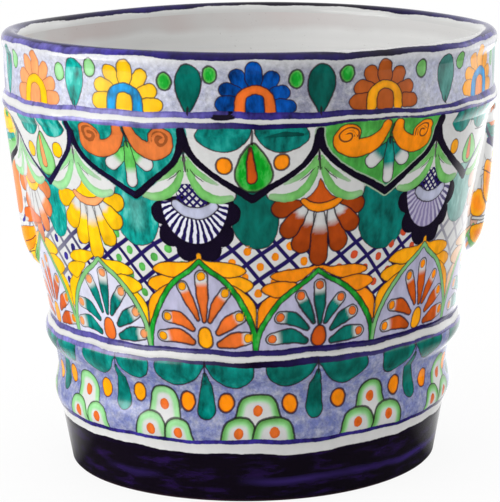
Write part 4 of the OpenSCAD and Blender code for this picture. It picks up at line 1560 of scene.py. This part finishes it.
# %% Lugs
LUG_GLOSS = 0.02
for name, (radius, angle, height) in lugs.items():
    rows, columns = radius.shape
    grid = settle(radius, angle, height)
    co = np.vstack([grid.reshape(-1, 3), grid[0].mean(axis=0), grid[-1].mean(axis=0)])
    column = np.arange(columns)
    beside = (column + 1) % columns
    last = (rows - 1) * columns
    tip = np.c_[np.full(columns, rows * columns), beside, column]
    crown = np.c_[np.full(columns, rows * columns + 1), last + column, last + beside]
    piece = skin(name + "_skin", co, woven_faces(rows, columns, False), np.vstack([tip, crown]))
    part = sheet_part[name]
    material, used = painted_glaze(name + "_painted_glaze", part, LUG_GLOSS)
    piece.data.materials.append(material)
    store_painting(piece, part, used)
    place_piece(piece, name)

# %% [markdown]
# The floor slab already has the right shape in the frame, so it keeps its CAD mesh and only gets a
# finish: white glaze on top that stops raggedly short of the bare clay below.

# %% Floor slab
RAGGED_LOW, RAGGED_HIGH = 0.004, 0.003
floor_finish, w, place = new_material("floor_glaze_and_clay")
floor_top = high("floor_slab").z * MM
ragged = w.times(w.noise(place, 160.0, 3.0), 0.004, w.less(w.split(place)[2], 0.002))
coated = w.span(ragged, floor_top - RAGGED_LOW, floor_top - RAGGED_HIGH)
glaze_over(w, w.mix(coated, tint(186, 112, 78), tint(234, 231, 226)), place, 0.3, 0.25)
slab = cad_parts["floor_slab"]
slab.data.materials.clear()
slab.data.materials.append(floor_finish)
print("floor top at", round(floor_top / MM, 1), "mm")

# %% [markdown]
# The pot stands in a white studio. A big soft light and a low one on the left do most of the work, a
# narrow one stands on the right, and a bright sky and backdrop fill the rest, so the middle of the wall
# is a little darker than both sides. The floor and the world are white to the camera, but the floor
# still takes a faint shadow. In the glaze only the paper behind the pot mirrors brightly, as a sweep of
# paper lit from behind does, and the paper in front stays dark, so the dark paints keep their depth.

# %% Studio floor
FLOOR_HALF = 1.5
PAPER = (0.8, 0.8, 0.8, 1.0)
PURE_WHITE = (1.0, 1.0, 1.0, 1.0)
floor_mesh = bpy.data.meshes.new("studio_floor")
floor_corners = [(x * FLOOR_HALF, y * FLOOR_HALF, 0) for x, y in ((-1, -1), (1, -1), (1, 1), (-1, 1))]
floor_mesh.from_pydata(floor_corners, [], [(0, 1, 2, 3)])
studio_floor = bpy.data.objects.new("studio_floor", floor_mesh)
scene.collection.objects.link(studio_floor)
floor_paper, w, place = new_material("studio_floor_paper")
ray = w.put("ShaderNodeLightPath").outputs
aim_x, aim_y, _ = w.split(w.put("ShaderNodeVectorMath", (place,), operation="NORMALIZE").outputs[0])
reach = w.put("ShaderNodeVectorMath", (place,), operation="LENGTH").outputs["Value"]
behind = w.times(w.span(aim_y, 0.3, 0.85), w.span(reach, 1.7, 1.4))
beside = w.times(w.span(aim_y, -0.3, 0.4), w.span(reach, 0.28, 0.2))
gleam = w.larger(w.times(behind, w.span(aim_x, -0.2, 0.2, 0.85, 2.6)), w.times(beside, 0.9))
paper = w.put("ShaderNodeBsdfDiffuse", {"Color": PAPER}).outputs[0]
mirrored = w.put("ShaderNodeEmission", {"Strength": w.plus(gleam, 0.05)}).outputs[0]
white = w.put("ShaderNodeEmission", {"Color": PURE_WHITE, "Strength": 1.0}).outputs[0]
lit = w.put("ShaderNodeMixShader", (ray["Is Glossy Ray"], paper, mirrored)).outputs[0]
shown = w.put("ShaderNodeMixShader", (w.times(ray["Is Camera Ray"], 0.9), lit, white)).outputs[0]
w.put("ShaderNodeOutputMaterial", (shown,))
floor_mesh.materials.append(floor_paper)
print("studio floor", 2 * FLOOR_HALF, "m wide")

# %% World
RIGHT_GLOW, BEHIND_GLOW, ABOVE_GLOW = 1.1, 2.2, 1.4
world = bpy.data.worlds.new("studio")
world.use_nodes = True
world.node_tree.nodes.clear()
w = Wires(world.node_tree)
ray = w.put("ShaderNodeLightPath").outputs
aim = w.split(w.put("ShaderNodeTexCoord").outputs["Generated"])
glow = 0.0
for toward, strength in zip(aim, (RIGHT_GLOW, BEHIND_GLOW, ABOVE_GLOW)):
    facing = w.sums("MULTIPLY", toward, 1.0, clamp=True)
    glow = w.times(w.times(facing, facing), strength, glow)
edge_glow = w.span(aim[0], 0.3, 0.65, 0.5, 1.0)
horizon = w.span(aim[2], 0.12, 0.0, 0.35, edge_glow)
glow = w.times(glow, w.span(ray["Is Glossy Ray"], 0.0, 1.0, 1.0, horizon))
ambient = w.put("ShaderNodeBackground", {"Color": PURE_WHITE, "Strength": glow}).outputs[0]
seen = w.put("ShaderNodeBackground", {"Color": PURE_WHITE, "Strength": 1.0}).outputs[0]
shown = w.put("ShaderNodeMixShader", (ray["Is Camera Ray"], ambient, seen)).outputs[0]
w.put("ShaderNodeOutputWorld", (shown,))
scene.world = world
print("white world set")

# %% Lamps
POT_MIDDLE = Vector((0.0, 0.0, 0.14))


def softbox(name, place, wide, tall, watts):
    """A rectangular soft light that faces the middle of the pot."""
    lamp = bpy.data.objects.new(name, bpy.data.lights.new(name, "AREA"))
    lamp.data.shape = "RECTANGLE"
    lamp.data.size, lamp.data.size_y = wide, tall
    lamp.data.energy = watts
    lamp.location = place
    lamp.rotation_euler = (POT_MIDDLE - Vector(place)).to_track_quat("-Z", "Y").to_euler()
    scene.collection.objects.link(lamp)


softbox("left_softbox", (-1.45, -0.8, 0.65), 1.3, 1.3, 17.3)
softbox("left_low", (-1.6, -0.3, 0.25), 1.0, 0.4, 6.6)
softbox("right_softbox", (1.2, 0.75, 0.35), 0.4, 1.0, 1.5)
print("three soft lights")

# %% [markdown]
# Last, the view layer is brought up to date.

# %% Finish
bpy.context.view_layer.update()
